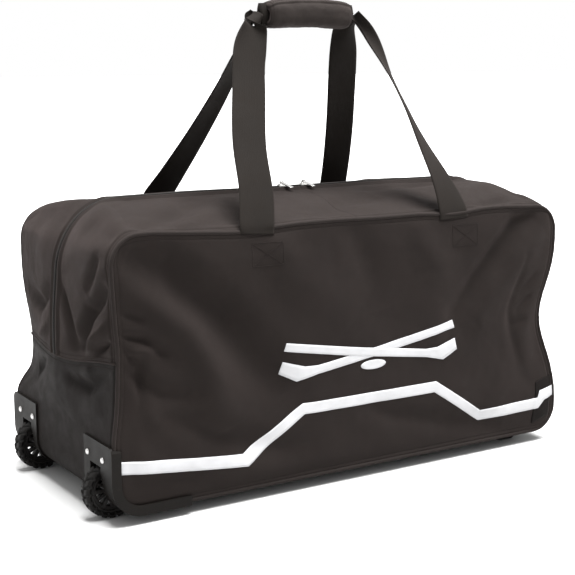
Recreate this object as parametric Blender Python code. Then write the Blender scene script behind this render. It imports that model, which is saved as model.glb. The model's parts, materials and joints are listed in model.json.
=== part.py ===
"""Wheeled hockey equipment bag, as an assembly of separate pieces.

Frame: +X runs along the bag from the wheels to the tow end, -Y is the front face
with the stripe, +Z is up.  The origin lies on the floor, below the middle of the
bounding box.  All lengths are in metres.
"""

import math

import bmesh
import bpy
from mathutils import Matrix, Vector

# ---------------------------------------------------------------- driving dimensions
LENGTH = 0.840            # bag, wheel end to tow end
DEPTH = 0.375             # bag, front face to rear face
BASE_Z = 0.017            # underside of the fabric base
SEAM_Z = 0.417            # top seams, front and rear
CROWN = 0.030             # rise of the top from its seams to the zip
SKIN = 0.0025             # thickness of a padded fabric panel
GAP = 0.0003              # clearance between pieces that touch
PIPING_R = 0.003          # radius of the cord in the seams
TOP_RADIUS = 0.045        # top corners at the seams
ZIP_RADIUS = 0.100        # top corners along the zip
END_RADIUS = 0.045        # lower corners, seen from the front
BASE_WRAP = 0.020         # how far the base panel curves up the sides
END_BREAK_Z = 0.219       # seam above the reinforced lower end panels
FLAP_END_X = 0.310        # half length of the part of the top that folds open
ZIP_HALF = 0.0075         # half width of the zip, both tapes
ZIP_ROOT = 0.0060         # from the middle of the zip to the roots of its teeth
TOOTH_PITCH = 0.008
TOOTH_W = 0.0037
ZIP_T = 0.0020            # thickness of a zip tape with its coil
ZIP_LIFT = 0.0008         # how far the zip stands above the fabric
ZIP_FOOT_SHARE = 0.06     # where the zip starts, as a share of the upper end wall
STOP_SIZE = (0.0022, 0.018, 0.0072)   # webbing tab over the end of the zip
PIPING_FOOT_Z = 0.125     # lower ends of the piping
PANEL_CORNER = 0.030      # lower corners of the front and rear panels
BASE_JOINT_X = 0.3485     # where the end panels meet the base panel

BOARD_T = 0.004           # stiffening board in the base
BOARD_X = (-0.345, 0.372)
BOARD_HALF_Y = 0.160

WHEEL_R = 0.042
WHEEL_X = -0.4015
WHEEL_Y = 0.134
WHEEL_W = 0.024
RIM_R = 0.0335
HUB_R = 0.0115
HUB_W = 0.018
BUSH_R = 0.0078
AXLE_R = 0.0040
SPOKES = 6
TREAD_BLOCKS = 20
TREAD_DEPTH = 0.0012

GUARD_T = 0.0032          # wall of the moulded wheel housings
GUARD_TOP_Z = 0.119
GUARD_INNER_Y = 0.094
GUARD_FOOT_X = -0.335
WELL_R = 0.047            # wheel well around the wheel
WELL_HALF_W = 0.018
ARCH_HALF_W = 0.026
ARCH_TOP_Z = 0.080
ARCH_DEPTH_X = -0.412
WELL_WALL = 0.003
WELL_TOP_GAP = 0.001      # clearance of the lower end panel over the wheel wells
FLANGE_IN = 0.0335        # inner radius of the flange on the front face
TONGUE_X = -0.297
RIVET_R = 0.0048
RIVET_Z = 0.095
RIVET_STEP = 0.026
RIVET_SHANK_R = 0.0022
RIVET_HOLE_R = 0.0026
RIVET_SHANK = 0.0030
RIVET_DOME = 0.0025
PLATE_CORNER = 0.012      # round outer top corner of the guard's end plate
PLATE_CORNER_IN = 0.004
TONGUE_INNER_Y = 0.165
HUB_STEP = 0.003          # how far the hub's web lies inside its rim and boss
SPOKE_HALF_W = 0.0028
BUSH_PROUD = 0.0045       # how far a bush stands out of its hub, each side
TREAD_SHOULDER = 0.0045
AXLE_HEAD = (0.0068, 0.0045)    # radius and height of the bolt head
AXLE_TAIL = 0.0075        # thread past the inner well wall
NUT_R = 0.0072
NUT_H = 0.0062

FOOT_X = (0.322, 0.366)
FOOT_Y = (0.105, 0.155)
FOOT_BEVEL = 0.004
FOOT_CORNER = 0.010
FOOT_FLANGE = (0.003, 0.004)    # thickness, and how far it stands out

STRAP_W = 0.057           # carry strap webbing
STRAP_T = 0.0024
STRAP_X = 0.183           # where the strap legs leave the top seams
STRAP_FOOT_Z = 0.4235
GRIP_X = 0.022            # middle of the carry grip
GRIP_Z = 0.7245
GRIP_HALF_L = 0.077
GRIP_HALF_W = 0.029
GRIP_H = 0.0225           # half height of the wrap
WRAP_T = 0.0055
ANCHOR_H = 0.046
ANCHOR_DROP = 0.008       # from the panel's top edge down to the anchor
LEG_END_GAP = 0.024       # from the end of the grip to the head of a leg
LEG_BOW = ((0.0, 0.0), (0.25, 0.004), (0.6, 0.010), (0.85, 0.012), (1.0, 0.0))
LEG_STEPS = 12
LEG_TWIST_FROM = 0.35     # share of the leg that stays untwisted
GRIP_STRAP_REACH = 0.009  # how far the straps come out of the wrap
GRIP_STRAP_Y = (0.0006, 0.0090)
GRIP_STRAP_HALF_H = 0.0145

SLIDER_X = (-0.024, 0.018)
SLIDER_SIZE = (0.015, 0.011, 0.0042)
PULL_LENGTH = 0.030
PULL_W = 0.0075
PULL_T = 0.0016
CURL_R = 0.0024            # curled end of a pull, round the bail
CURL_HALF_L = 0.0024
PULL_DROOP = math.radians(11)   # the pulls hang down to the cloth
BAIL_RISE = 0.0040
BAIL_WIRE = 0.0009        # half thickness of the bail
BAIL_HALF_L = 0.0048
SLIDER_CORNER = 0.003
PULL_SHOULDER = (0.0062, 0.0047)   # where the plate narrows to its neck
PULL_END_CORNER = 0.002

BAR_X = 0.4332            # bar that carries the tow loop
BAR_Z = 0.192
BAR_R = 0.0025
LOOP_HALF_W = 0.024
LOOP_HALF_X = 0.0103
LOOP_HALF_Z = 0.056
LOOP_T = 0.0024
LOOP_CLEAR = 0.0016       # slack of the loop over its bar
LOOP_STEPS = 28
EAR_Y = 0.0275
EAR_T = 0.0035
EAR_HALF_H = 0.010
EAR_REACH = 0.0062        # from the bar to the rim of an ear
EAR_CORNER = 0.005
BRACKET_T = 0.0026
BRACKET_HALF_H = 0.019
BRACKET_EDGE = 0.006

HALF_L = LENGTH / 2
HALF_D = DEPTH / 2
SEAM_IN = 2 * PIPING_R + GAP     # how far panels stop short of a piped edge
PAST = 0.020              # how far a cutter reaches past what it cuts

# ---------------------------------------------------------------- materials
COLOURS = {
    # name: (red, green, blue), roughness, metallic
    "bag_fabric": ((0.031, 0.026, 0.023), 0.85, 0.0),
    "base_fabric": ((0.022, 0.020, 0.018), 0.70, 0.0),
    "piping": ((0.020, 0.018, 0.016), 0.75, 0.0),
    "webbing": ((0.028, 0.027, 0.023), 0.80, 0.0),
    "grip": ((0.030, 0.026, 0.023), 0.80, 0.0),
    "zip_tape": ((0.022, 0.020, 0.018), 0.65, 0.0),
    "board": ((0.060, 0.055, 0.050), 0.80, 0.0),
    "moulding": ((0.035, 0.031, 0.028), 0.50, 0.0),
    "tyre": ((0.016, 0.015, 0.015), 0.55, 0.0),
    "hub": ((0.018, 0.017, 0.016), 0.35, 0.0),
    "bush": ((0.55, 0.54, 0.50), 0.45, 0.0),
    "steel": ((0.62, 0.62, 0.62), 0.30, 1.0),
    "slider_metal": ((0.70, 0.70, 0.70), 0.25, 1.0),
}


def clear_scene():
    for old in list(bpy.data.objects):
        bpy.data.objects.remove(old, do_unlink=True)


def material(name):
    found = bpy.data.materials.get(name)
    if found:
        return found
    colour, roughness, metallic = COLOURS[name]
    made = bpy.data.materials.new(name)
    made.use_nodes = True
    shader = made.node_tree.nodes["Principled BSDF"]
    shader.inputs["Base Color"].default_value = (*colour, 1.0)
    shader.inputs["Roughness"].default_value = roughness
    shader.inputs["Metallic"].default_value = metallic
    return made


# ---------------------------------------------------------------- mesh helpers
def add_object(name, mesh_data, material_name, place=(0, 0, 0), smooth=False):
    """Link an object; `place` is its origin, and the mesh is built in world axes."""
    bmesh.ops.recalc_face_normals(mesh_data, faces=mesh_data.faces)
    mesh = bpy.data.meshes.new(name)
    mesh_data.transform(Matrix.Translation(-Vector(place)))
    mesh_data.to_mesh(mesh)
    mesh_data.free()
    mesh.materials.append(material(material_name))
    if smooth:
        mesh.shade_smooth()
        mesh.set_sharp_from_angle(angle=math.radians(35))
    piece = bpy.data.objects.new(name, mesh)
    piece.location = place
    bpy.context.collection.objects.link(piece)
    return piece


def cutter(name, mesh_data):
    """A hidden object that a Boolean modifier uses."""
    tool = add_object(name, mesh_data, "board")
    tool.hide_render = True
    tool.display_type = "WIRE"
    return tool


def boolean(piece, tool, operation):
    step = piece.modifiers.new(operation.lower(), "BOOLEAN")
    step.operation = operation
    step.solver = "EXACT"
    step.object = tool
    return step


def loft(sections, closed=False):
    """Skin between loops of points; open lofts get end caps."""
    body = bmesh.new()
    rings = [[body.verts.new(point) for point in ring] for ring in sections]
    count = len(rings[0])
    pairs = list(zip(rings, rings[1:]))
    if closed:
        pairs.append((rings[-1], rings[0]))
    for first, second in pairs:
        for i in range(count):
            j = (i + 1) % count
            body.faces.new((first[i], first[j], second[j], second[i]))
    if not closed:
        body.faces.new(rings[0])
        body.faces.new(list(reversed(rings[-1])))
    return body


def prism(outline, axis, low, high):
    """Extrude a flat outline along a world axis; outline points skip that axis."""
    def lift(point, level):
        values = list(point)
        values.insert(axis, level)
        return values
    return loft([[lift(p, low) for p in outline], [lift(p, high) for p in outline]])


def box(low, high):
    corners = [(low[0], low[1]), (high[0], low[1]), (high[0], high[1]), (low[0], high[1])]
    return prism(corners, 2, low[2], high[2])


def join(*bodies):
    """Put several meshes in one; used for separate cutter shapes only."""
    whole = bmesh.new()
    for body in bodies:
        scratch = bpy.data.meshes.new("scratch")
        bmesh.ops.recalc_face_normals(body, faces=body.faces)
        body.to_mesh(scratch)
        body.free()
        whole.from_mesh(scratch)
        bpy.data.meshes.remove(scratch)
    return whole


def arc(centre, radius, start, end, steps):
    """Points of an arc, angles in degrees, both ends included."""
    points = []
    for i in range(steps + 1):
        angle = math.radians(start + (end - start) * i / steps)
        points.append((centre[0] + radius * math.cos(angle), centre[1] + radius * math.sin(angle)))
    return points


def rounded(corners, steps=5):
    """Rounded rectangle-like outline from (u, v, radius) corners in order."""
    points = []
    count = len(corners)
    for i in range(count):
        here = Vector(corners[i][:2])
        radius = corners[i][2]
        back = (Vector(corners[i - 1][:2]) - here).normalized()
        ahead = (Vector(corners[(i + 1) % count][:2]) - here).normalized()
        if radius <= 0:
            points.append(tuple(here))
            continue
        half = back.angle(ahead) / 2
        reach = radius / math.tan(half)
        centre = here + (back + ahead).normalized() * (radius / math.sin(half))
        first = here + back * reach - centre
        last = here + ahead * reach - centre
        begin = math.atan2(first.y, first.x)
        turn = math.atan2(last.y, last.x) - begin
        turn = (turn + math.pi) % (2 * math.pi) - math.pi
        for k in range(steps + 1):
            angle = begin + turn * k / steps
            points.append((centre.x + radius * math.cos(angle), centre.y + radius * math.sin(angle)))
    return points


def turned(profile, centre, steps, axis="Y"):
    """Ring turned about an axis through `centre`; profile points are (radius, along)."""
    sections = []
    for i in range(steps):
        angle = 2 * math.pi * i / steps
        ring = []
        for radius, along in profile:
            u, v = radius * math.cos(angle), radius * math.sin(angle)
            offset = (u, along, v) if axis == "Y" else (along, u, v)
            ring.append(tuple(c + o for c, o in zip(centre, offset)))
        sections.append(ring)
    return loft(sections, closed=True)


def pin(profile, centre, steps, axis="Y"):
    """Solid turned part; profile runs (radius, along) from one end to the other."""
    sections = []
    for radius, along in profile:
        ring = []
        for i in range(steps):
            angle = 2 * math.pi * i / steps
            u, v = radius * math.cos(angle), radius * math.sin(angle)
            offset = (u, along, v) if axis == "Y" else (along, u, v)
            ring.append(tuple(c + o for c, o in zip(centre, offset)))
        sections.append(ring)
    return loft(sections)


def along_curve(points, steps):
    """Points along a smooth curve through the given ones (Catmull-Rom)."""
    knots = [Vector(p) for p in points]
    knots = [2 * knots[0] - knots[1], *knots, 2 * knots[-1] - knots[-2]]
    result = []
    spans = len(knots) - 3
    for i in range(steps + 1):
        place = min(i * spans / steps, spans - 1e-9)
        k = int(place)
        t = place - k
        a, b, c, d = knots[k:k + 4]
        result.append(0.5 * (2 * b + (c - a) * t + (2 * a - 5 * b + 4 * c - d) * t ** 2
                             + (3 * b - a - 3 * c + d) * t ** 3))
    return result


def band(path, width_dirs, width, thickness):
    """Flat webbing along a path; width_dirs gives the width direction at each point."""
    sections = []
    for i, point in enumerate(path):
        ahead = path[min(i + 1, len(path) - 1)] - path[max(i - 1, 0)]
        wide = width_dirs[i] - ahead * (width_dirs[i].dot(ahead) / ahead.length_squared)
        wide.normalize()
        thick = wide.cross(ahead).normalized() * (thickness / 2)
        wide = wide * (width / 2)
        sections.append([point - wide - thick, point + wide - thick,
                         point + wide + thick, point - wide + thick])
    return loft(sections)


# ---------------------------------------------------------------- shape of the soft shell
def crown_share(y):
    """0 at a top seam, 1 at the zip."""
    return min(max((HALF_D - abs(y)) / HALF_D, 0.0), 1.0)


def top_height(y):
    return SEAM_Z + CROWN * math.sin(crown_share(y) * math.pi / 2)


def top_radius(y):
    return TOP_RADIUS + (ZIP_RADIUS - TOP_RADIUS) * crown_share(y)


def over_the_top(y, side, stages, depth):
    """Points (x, z) of the end-and-top outline at one y, `depth` inside the surface.

    Each stage is ("z", height) on the end wall, ("arc", share of the corner) or
    ("x", distance from the middle) on the top.
    """
    radius = top_radius(y)
    centre_x = HALF_L - radius
    centre_z = top_height(y) - radius
    points = []
    for kind, value in stages:
        if kind == "z":
            x, z = HALF_L - depth, value
        elif kind == "wall":
            x, z = HALF_L - depth, END_BREAK_Z + GAP + (centre_z - END_BREAK_Z) * value
        elif kind == "arc":
            angle = math.pi / 2 * value
            x = centre_x + (radius - depth) * math.cos(angle)
            z = centre_z + (radius - depth) * math.sin(angle)
        else:
            x, z = value, top_height(y) - depth
        points.append((side * x, z))
    return points


def gusset(side, stages, y_from, y_to, y_steps, outer, inner):
    """Strip of the end-and-top cloth between two values of y."""
    ys = [y_from + (y_to - y_from) * i / y_steps for i in range(y_steps + 1)]
    outside = [over_the_top(y, side, stages, outer) for y in ys]
    inside = [over_the_top(y, side, stages, inner) for y in ys]
    sections = []
    for k in range(len(stages)):
        ring = [(outside[i][k][0], y, outside[i][k][1]) for i, y in enumerate(ys)]
        ring += [(inside[i][k][0], y, inside[i][k][1]) for i, y in reversed(list(enumerate(ys)))]
        sections.append(ring)
    return loft(sections)


CORNER_STAGES = ([("wall", 0.0), ("wall", 0.5)] + [("arc", i / 8) for i in range(9)]
                 + [("x", FLAP_END_X + GAP)])
FLAP_STAGES = [("x", FLAP_END_X * (1 - i / 2)) for i in range(5)]


def make_top_and_ends():
    """Upper end panels with the top corners, and the two top flaps."""
    for face, sign in (("front", -1), ("rear", 1)):
        seam = sign * (HALF_D - SEAM_IN)
        middle = sign * (ZIP_HALF + GAP)
        for end, side in (("wheel_end", -1), ("tow_end", 1)):
            body = gusset(side, CORNER_STAGES, seam, middle, 6, 0.0, SKIN)
            add_object(f"{end}_upper_{face}", body, "bag_fabric")
        hinge = (0, seam, SEAM_Z - SKIN / 2)
        body = gusset(1, FLAP_STAGES, seam, middle, 6, 0.0, SKIN)
        add_object(f"top_flap_{face}", body, "bag_fabric", hinge)


def comb_outline(sign):
    """Plan (x, y) of a top tape, whose teeth stand between the other tape's teeth."""
    edge, root, tip = sign * ZIP_HALF, sign * ZIP_ROOT, sign * GAP / 2
    first = -FLAP_END_X + GAP
    if sign > 0:
        first += TOOTH_PITCH / 2
    count = int((FLAP_END_X - TOOTH_W - first) / TOOTH_PITCH)
    points = [(-FLAP_END_X, edge), (-FLAP_END_X, root)]
    for i in range(count):
        x = first + i * TOOTH_PITCH
        points += [(x, root), (x, tip), (x + TOOTH_W, tip), (x + TOOTH_W, root)]
    points += [(FLAP_END_X, root), (FLAP_END_X, edge)]
    return points


def make_zip():
    """Two tapes that mesh along the top, and the same tapes down each end."""
    outer, inner = -ZIP_LIFT, ZIP_T - ZIP_LIFT
    ridge = SEAM_Z + CROWN
    for face, sign in (("front", -1), ("rear", 1)):
        edge = sign * ZIP_HALF
        middle = sign * GAP / 2
        hinge = (0, sign * (HALF_D - SEAM_IN), SEAM_Z - SKIN / 2)
        body = prism(comb_outline(sign), 2, ridge - inner, ridge - outer)
        add_object(f"zip_tape_{face}_top", body, "zip_tape", hinge)
        for end, side in (("wheel_end", -1), ("tow_end", 1)):
            stages = [("wall", ZIP_FOOT_SHARE)] + CORNER_STAGES[1:]
            body = gusset(side, stages, edge, middle, 1, outer, inner)
            add_object(f"zip_tape_{face}_{end}", body, "zip_tape")
    thick, wide, high = STOP_SIZE
    for end, side in (("wheel_end", -1), ("tow_end", 1)):
        x_low, x_high = sorted((side * (HALF_L + GAP), side * (HALF_L + thick)))
        body = box((x_low, -wide / 2, END_BREAK_Z + GAP), (x_high, wide / 2, END_BREAK_Z + high))
        add_object(f"zip_stop_{end}", body, "webbing")


def lower_end_outline(depth):
    """Lower end wall, its round corner and a stretch of the base, (x, z) at +X."""
    centre = (HALF_L - END_RADIUS, BASE_Z + END_RADIUS)
    points = [(HALF_L - depth, END_BREAK_Z - GAP)]
    points += arc(centre, END_RADIUS - depth, 0, -90, 6)
    points.append((BASE_JOINT_X, BASE_Z + depth))
    return points


def make_lower_ends():
    """Reinforced lower end panels; the wheel end is cut out round the wheel wells."""
    half_y = HALF_D - SEAM_IN
    for end, side in (("wheel_end", -1), ("tow_end", 1)):
        outline = lower_end_outline(0.0) + list(reversed(lower_end_outline(SKIN)))
        outline = [(side * x, z) for x, z in outline]
        panel = add_object(f"{end}_lower", prism(outline, 1, -half_y, half_y), "base_fabric")
        if end == "wheel_end":
            reach = ARCH_HALF_W + WELL_WALL + GAP
            back = WHEEL_X + WELL_R + WELL_WALL + GAP
            top = WHEEL_R + WELL_R + WELL_WALL + WELL_TOP_GAP
            holes = [box((-HALF_L - PAST, y - reach, 0.0), (back, y + reach, top))
                     for y in (-WHEEL_Y, WHEEL_Y)]
            boolean(panel, cutter("well_cutouts", join(*holes)), "DIFFERENCE")


def make_base():
    """Tarpaulin base that curves up the long sides, and the board inside it."""
    def trough(depth):
        centre_y = HALF_D - BASE_WRAP
        centre_z = BASE_Z + BASE_WRAP
        right = arc((centre_y, centre_z), BASE_WRAP - depth, -90, 0, 4)
        return [(-y, z) for y, z in reversed(right)] + right
    ring = trough(0.0) + list(reversed(trough(SKIN)))
    half = BASE_JOINT_X - GAP
    add_object("base_panel", prism(ring, 0, -half, half), "base_fabric")
    board_z = BASE_Z + SKIN + GAP
    board = box((BOARD_X[0], -BOARD_HALF_Y, board_z),
                (BOARD_X[1], BOARD_HALF_Y, board_z + BOARD_T))
    add_object("base_board", board, "board")


def make_front_and_rear():
    """Flat front and rear panels inside their piping."""
    edge = HALF_L - SEAM_IN
    low = BASE_Z + BASE_WRAP + GAP
    top = SEAM_Z - SEAM_IN
    corner = TOP_RADIUS - SEAM_IN
    outline = rounded([(-edge, low, PANEL_CORNER), (edge, low, PANEL_CORNER),
                       (edge, top, corner), (-edge, top, corner)], 6)
    for face, sign in (("front", -1), ("rear", 1)):
        inner, outer = sign * (HALF_D - SKIN), sign * HALF_D
        body = prism(outline, 1, min(inner, outer), max(inner, outer))
        add_object(f"{face}_panel", body, "bag_fabric")


def make_piping():
    """Piped seams round the front and rear panels."""
    inset = PIPING_R
    radius = TOP_RADIUS - inset
    edge = HALF_L - inset
    centre_z = SEAM_Z - TOP_RADIUS
    path = [(-edge, PIPING_FOOT_Z), (-edge, END_BREAK_Z)]
    path += arc((-HALF_L + TOP_RADIUS, centre_z), radius, 180, 90, 7)
    path += [(0.0, SEAM_Z - inset)]
    path += arc((HALF_L - TOP_RADIUS, centre_z), radius, 90, 0, 7)
    path += [(edge, END_BREAK_Z), (edge, PIPING_FOOT_Z)]
    for face, sign in (("front", -1), ("rear", 1)):
        curve = bpy.data.curves.new(f"{face}_piping", "CURVE")
        curve.dimensions = "3D"
        spline = curve.splines.new("POLY")
        spline.points.add(len(path) - 1)
        for point, (x, z) in zip(spline.points, path):
            point.co = (x, sign * (HALF_D - PIPING_R), z, 1.0)
        curve.bevel_depth = PIPING_R
        curve.bevel_resolution = 2
        curve.use_fill_caps = True
        curve.materials.append(material("piping"))
        piece = bpy.data.objects.new(f"{face}_piping", curve)
        bpy.context.collection.objects.link(piece)


# ---------------------------------------------------------------- carry straps and grip
def make_strap_anchors():
    """Webbing ends sewn to the inside of the panels with a crossed box."""
    top = SEAM_Z - SEAM_IN - ANCHOR_DROP
    for face, sign in (("front", -1), ("rear", 1)):
        near = sign * (HALF_D - SKIN - GAP)
        far = near - sign * STRAP_T
        for end, x in (("wheel_end", -STRAP_X), ("tow_end", STRAP_X)):
            low = (x - STRAP_W / 2, min(near, far), top - ANCHOR_H)
            high = (x + STRAP_W / 2, max(near, far), top)
            add_object(f"strap_anchor_{face}_{end}", box(low, high), "webbing")


def leg_route(end, sign):
    """Middle line of a strap leg from the seam to the end of the grip."""
    grip_end = GRIP_X + end * (GRIP_HALF_L + LEG_END_GAP)
    foot = Vector((end * STRAP_X, sign * (HALF_D - PIPING_R), STRAP_FOOT_Z))
    head = Vector((grip_end, sign * 0.012, GRIP_Z - 0.006))
    route = []
    for share, out in LEG_BOW:
        point = foot.lerp(head, share)
        point.x += end * out
        route.append(point)
    return along_curve(route, LEG_STEPS)


def make_strap_legs():
    """Four webbing legs; the width turns from along the bag to upright at the grip."""
    for face, sign in (("front", -1), ("rear", 1)):
        for end, side in (("wheel_end", -1), ("tow_end", 1)):
            across = Vector((1, 0, 0))
            upright = Vector((0.35, 0, side * 0.9))
            widths = []
            for i in range(LEG_STEPS + 1):
                twist = max(0.0, (i / LEG_STEPS - LEG_TWIST_FROM) / (1 - LEG_TWIST_FROM)) ** 1.5
                widths.append(across.lerp(upright, twist).normalized())
            body = band(leg_route(side, sign), widths, STRAP_W * 0.98, STRAP_T)
            add_object(f"strap_leg_{face}_{end}", body, "webbing")


def wrap_outline(inset, steps):
    """Rounded section (y, z) of the grip."""
    half_w, half_h = GRIP_HALF_W - inset, GRIP_H - inset
    radius = min(half_w, half_h) * 0.92
    corners = [(-half_w, GRIP_Z - half_h, radius), (half_w, GRIP_Z - half_h, radius),
               (half_w, GRIP_Z + half_h, radius), (-half_w, GRIP_Z + half_h, radius)]
    return rounded(corners, steps)


def make_grip():
    """Padded wrap closed round both straps, and the straps inside it."""
    low, high = GRIP_X - GRIP_HALF_L, GRIP_X + GRIP_HALF_L
    outer, inner = wrap_outline(0.0, 5), wrap_outline(WRAP_T, 5)
    sections = [[(low, y, z) for y, z in outer], [(high, y, z) for y, z in outer],
                [(high, y, z) for y, z in inner], [(low, y, z) for y, z in inner]]
    add_object("grip_wrap", loft(sections, closed=True), "grip", (GRIP_X, 0, GRIP_Z))
    reach = GRIP_HALF_L + GRIP_STRAP_REACH
    for face, sign in (("front", -1), ("rear", 1)):
        y_low, y_high = sorted(sign * y for y in GRIP_STRAP_Y)
        body = box((GRIP_X - reach, y_low, GRIP_Z - GRIP_STRAP_HALF_H),
                   (GRIP_X + reach, y_high, GRIP_Z + GRIP_STRAP_HALF_H))
        add_object(f"grip_strap_{face}", body, "webbing", (GRIP_X, 0, GRIP_Z))


# ---------------------------------------------------------------- zip sliders
def make_sliders():
    """Slider bodies over the zip, each with a pull hung on its bail."""
    length, width, height = SLIDER_SIZE
    floor = SEAM_Z + CROWN + ZIP_LIFT + 2 * GAP
    bail_z = floor + height + BAIL_RISE
    for name, x in zip(("wheel_side", "tow_side"), SLIDER_X):
        outline = rounded([(x - length / 2, -width / 2, SLIDER_CORNER),
                           (x + length / 2, -width / 2, SLIDER_CORNER),
                           (x + length / 2, width / 2, SLIDER_CORNER),
                           (x - length / 2, width / 2, SLIDER_CORNER)], 3)
        body = prism(outline, 2, floor, floor + height)
        piece = add_object(f"slider_{name}", body, "slider_metal", (x, 0, floor), True)
        sunk = floor + height - BAIL_WIRE
        reach = BAIL_HALF_L - 2 * BAIL_WIRE
        under = bail_z - 2 * BAIL_WIRE
        arch = [(x - BAIL_HALF_L, sunk), (x - BAIL_HALF_L, bail_z),
                (x + BAIL_HALF_L, bail_z), (x + BAIL_HALF_L, sunk),
                (x + reach, sunk), (x + reach, under), (x - reach, under), (x - reach, sunk)]
        bail = cutter(f"bail_{name}", prism(arch, 1, -BAIL_WIRE, BAIL_WIRE))
        boolean(piece, bail, "UNION")
        make_pull(name, x, bail_z - BAIL_WIRE)


def make_pull(name, x, axis_z):
    """Flat pull whose curled end turns on the bail; it lies towards the front."""
    half, neck, cut = PULL_W / 2, CURL_HALF_L, PULL_END_CORNER
    near, far = -CURL_R * 0.8, -CURL_R - PULL_LENGTH
    shoulder, throat = -PULL_SHOULDER[0], -PULL_SHOULDER[1]
    plate = [(x - half, far + cut), (x - half + cut, far), (x + half - cut, far),
             (x + half, far + cut), (x + half, shoulder), (x + neck, throat), (x + neck, near),
             (x - neck, near), (x - neck, throat), (x - half, shoulder)]
    low = axis_z - PULL_T / 2
    piece = add_object(f"pull_{name}", prism(plate, 2, low, low + PULL_T), "slider_metal", (x, 0, axis_z), True)
    piece.rotation_euler = (PULL_DROOP, 0, 0)
    bore = CURL_R - PULL_T / 2
    profile = [(bore, -neck), (CURL_R, -neck), (CURL_R, neck), (bore, neck)]
    curl = turned(profile, (x, 0, axis_z), 16, "X")
    boolean(piece, cutter(f"pull_curl_{name}", curl), "UNION")


# ---------------------------------------------------------------- wheels and housings
def guard_outline(depth, foot_x, top_z):
    """Line of the moulded guard at `depth` inside the bag surface, (x, z)."""
    centre = (-HALF_L + END_RADIUS, BASE_Z + END_RADIUS)
    points = [(-HALF_L + depth, top_z)]
    points += arc(centre, END_RADIUS - depth, 180, 270, 8)
    points.append((foot_x, BASE_Z + depth))
    return points


def well_shape(wall, y):
    """Wheel well: a drum round the wheel and an arch through the end plate."""
    drum = pin([(WELL_R + wall, -WELL_HALF_W - wall), (WELL_R + wall, WELL_HALF_W + wall)],
               (WHEEL_X, y, WHEEL_R), 32)
    half = ARCH_HALF_W + wall
    centre_z = ARCH_TOP_Z - ARCH_HALF_W
    arch = arc((y, centre_z), half, 0, 180, 10)
    arch = [(y + half, 0.0)] + arch + [(y - half, 0.0)]
    mouth_x = -HALF_L - 0.05 if wall == 0 else -HALF_L - GUARD_T + 0.0002
    tunnel = prism(arch, 0, mouth_x, ARCH_DEPTH_X + wall)
    return drum, tunnel


def make_housing(face, sign):
    """Moulded corner guard with an end plate, a side flange, a tongue and a wheel well."""
    y_mid = sign * WHEEL_Y
    y_out = sign * (HALF_D + GAP + GUARD_T)
    y_in = sign * GUARD_INNER_Y
    skin_out, skin_in = -GUARD_T - GAP, -GAP
    plate_ring = guard_outline(skin_out, GUARD_FOOT_X, GUARD_TOP_Z)
    plate_ring += reversed(guard_outline(skin_in, GUARD_FOOT_X, GUARD_TOP_Z))
    name = f"wheel_housing_{face}"
    guard = add_object(name, prism(plate_ring, 1, min(y_out, y_in), max(y_out, y_in)), "moulding")
    # side flange with the tongue that protects the lower edge
    inner = [(-HALF_L + END_RADIUS - FLANGE_IN, GUARD_TOP_Z - 0.006)]
    inner += arc((-HALF_L + END_RADIUS, BASE_Z + END_RADIUS), FLANGE_IN, 180, 270, 8)
    inner.append((TONGUE_X, BASE_Z + END_RADIUS - FLANGE_IN))
    outer = guard_outline(skin_out, TONGUE_X, GUARD_TOP_Z - 0.001)
    flange_in = sign * (HALF_D + GAP)
    flange = prism(outer + list(reversed(inner)), 1, min(y_out, flange_in), max(y_out, flange_in))
    boolean(guard, cutter(f"flange_{face}", flange), "UNION")
    # runner under the tongue joins the flange to the base
    y_low, y_high = sorted((y_out, sign * TONGUE_INNER_Y))
    tongue = box((GUARD_FOOT_X - 0.004, y_low, BASE_Z - GUARD_T - GAP),
                 (TONGUE_X, y_high, BASE_Z - GAP))
    boolean(guard, cutter(f"tongue_{face}", tongue), "UNION")
    # wheel well walls, trimmed to the inside of the guard's outer face
    drum, tunnel = well_shape(WELL_WALL, y_mid)
    well = cutter(f"well_{face}", drum)
    boolean(well, cutter(f"tunnel_{face}", tunnel), "UNION")
    limit = guard_outline(-GUARD_T / 2, 0.0, 0.2) + [(0.0, 0.2)]
    boolean(well, cutter(f"limit_{face}", prism(limit, 1, y_mid - 0.06, y_mid + 0.06)), "INTERSECT")
    boolean(guard, well, "UNION")
    drum, tunnel = well_shape(0.0, y_mid)
    boolean(guard, cutter(f"drum_void_{face}", drum), "DIFFERENCE")
    boolean(guard, cutter(f"arch_void_{face}", tunnel), "DIFFERENCE")
    # holes for the axle and the rivets, and a round corner at the top of the plate
    hole = pin([(AXLE_R + GAP, -0.04), (AXLE_R + GAP, 0.04)], (WHEEL_X, y_mid, WHEEL_R), 16)
    rivets = [pin([(RIVET_HOLE_R, -PAST), (RIVET_HOLE_R, PAST)],
                  (-HALF_L, y_mid + step, RIVET_Z), 12, "X")
              for step in (-RIVET_STEP, RIVET_STEP)]
    boolean(guard, cutter(f"holes_{face}", join(hole, *rivets)), "DIFFERENCE")
    y_low, y_high = min(y_out, y_in) - GAP, max(y_out, y_in) + GAP
    top = GUARD_TOP_Z + GAP
    low_corner, high_corner = PLATE_CORNER_IN, PLATE_CORNER
    if sign < 0:
        low_corner, high_corner = high_corner, low_corner
    keep = rounded([(y_low, 0.0, 0.0), (y_high, 0.0, 0.0),
                    (y_high, top, high_corner), (y_low, top, low_corner)], 4)
    boolean(guard, cutter(f"corner_{face}", prism(keep, 0, -LENGTH, 0.0)), "INTERSECT")


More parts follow.
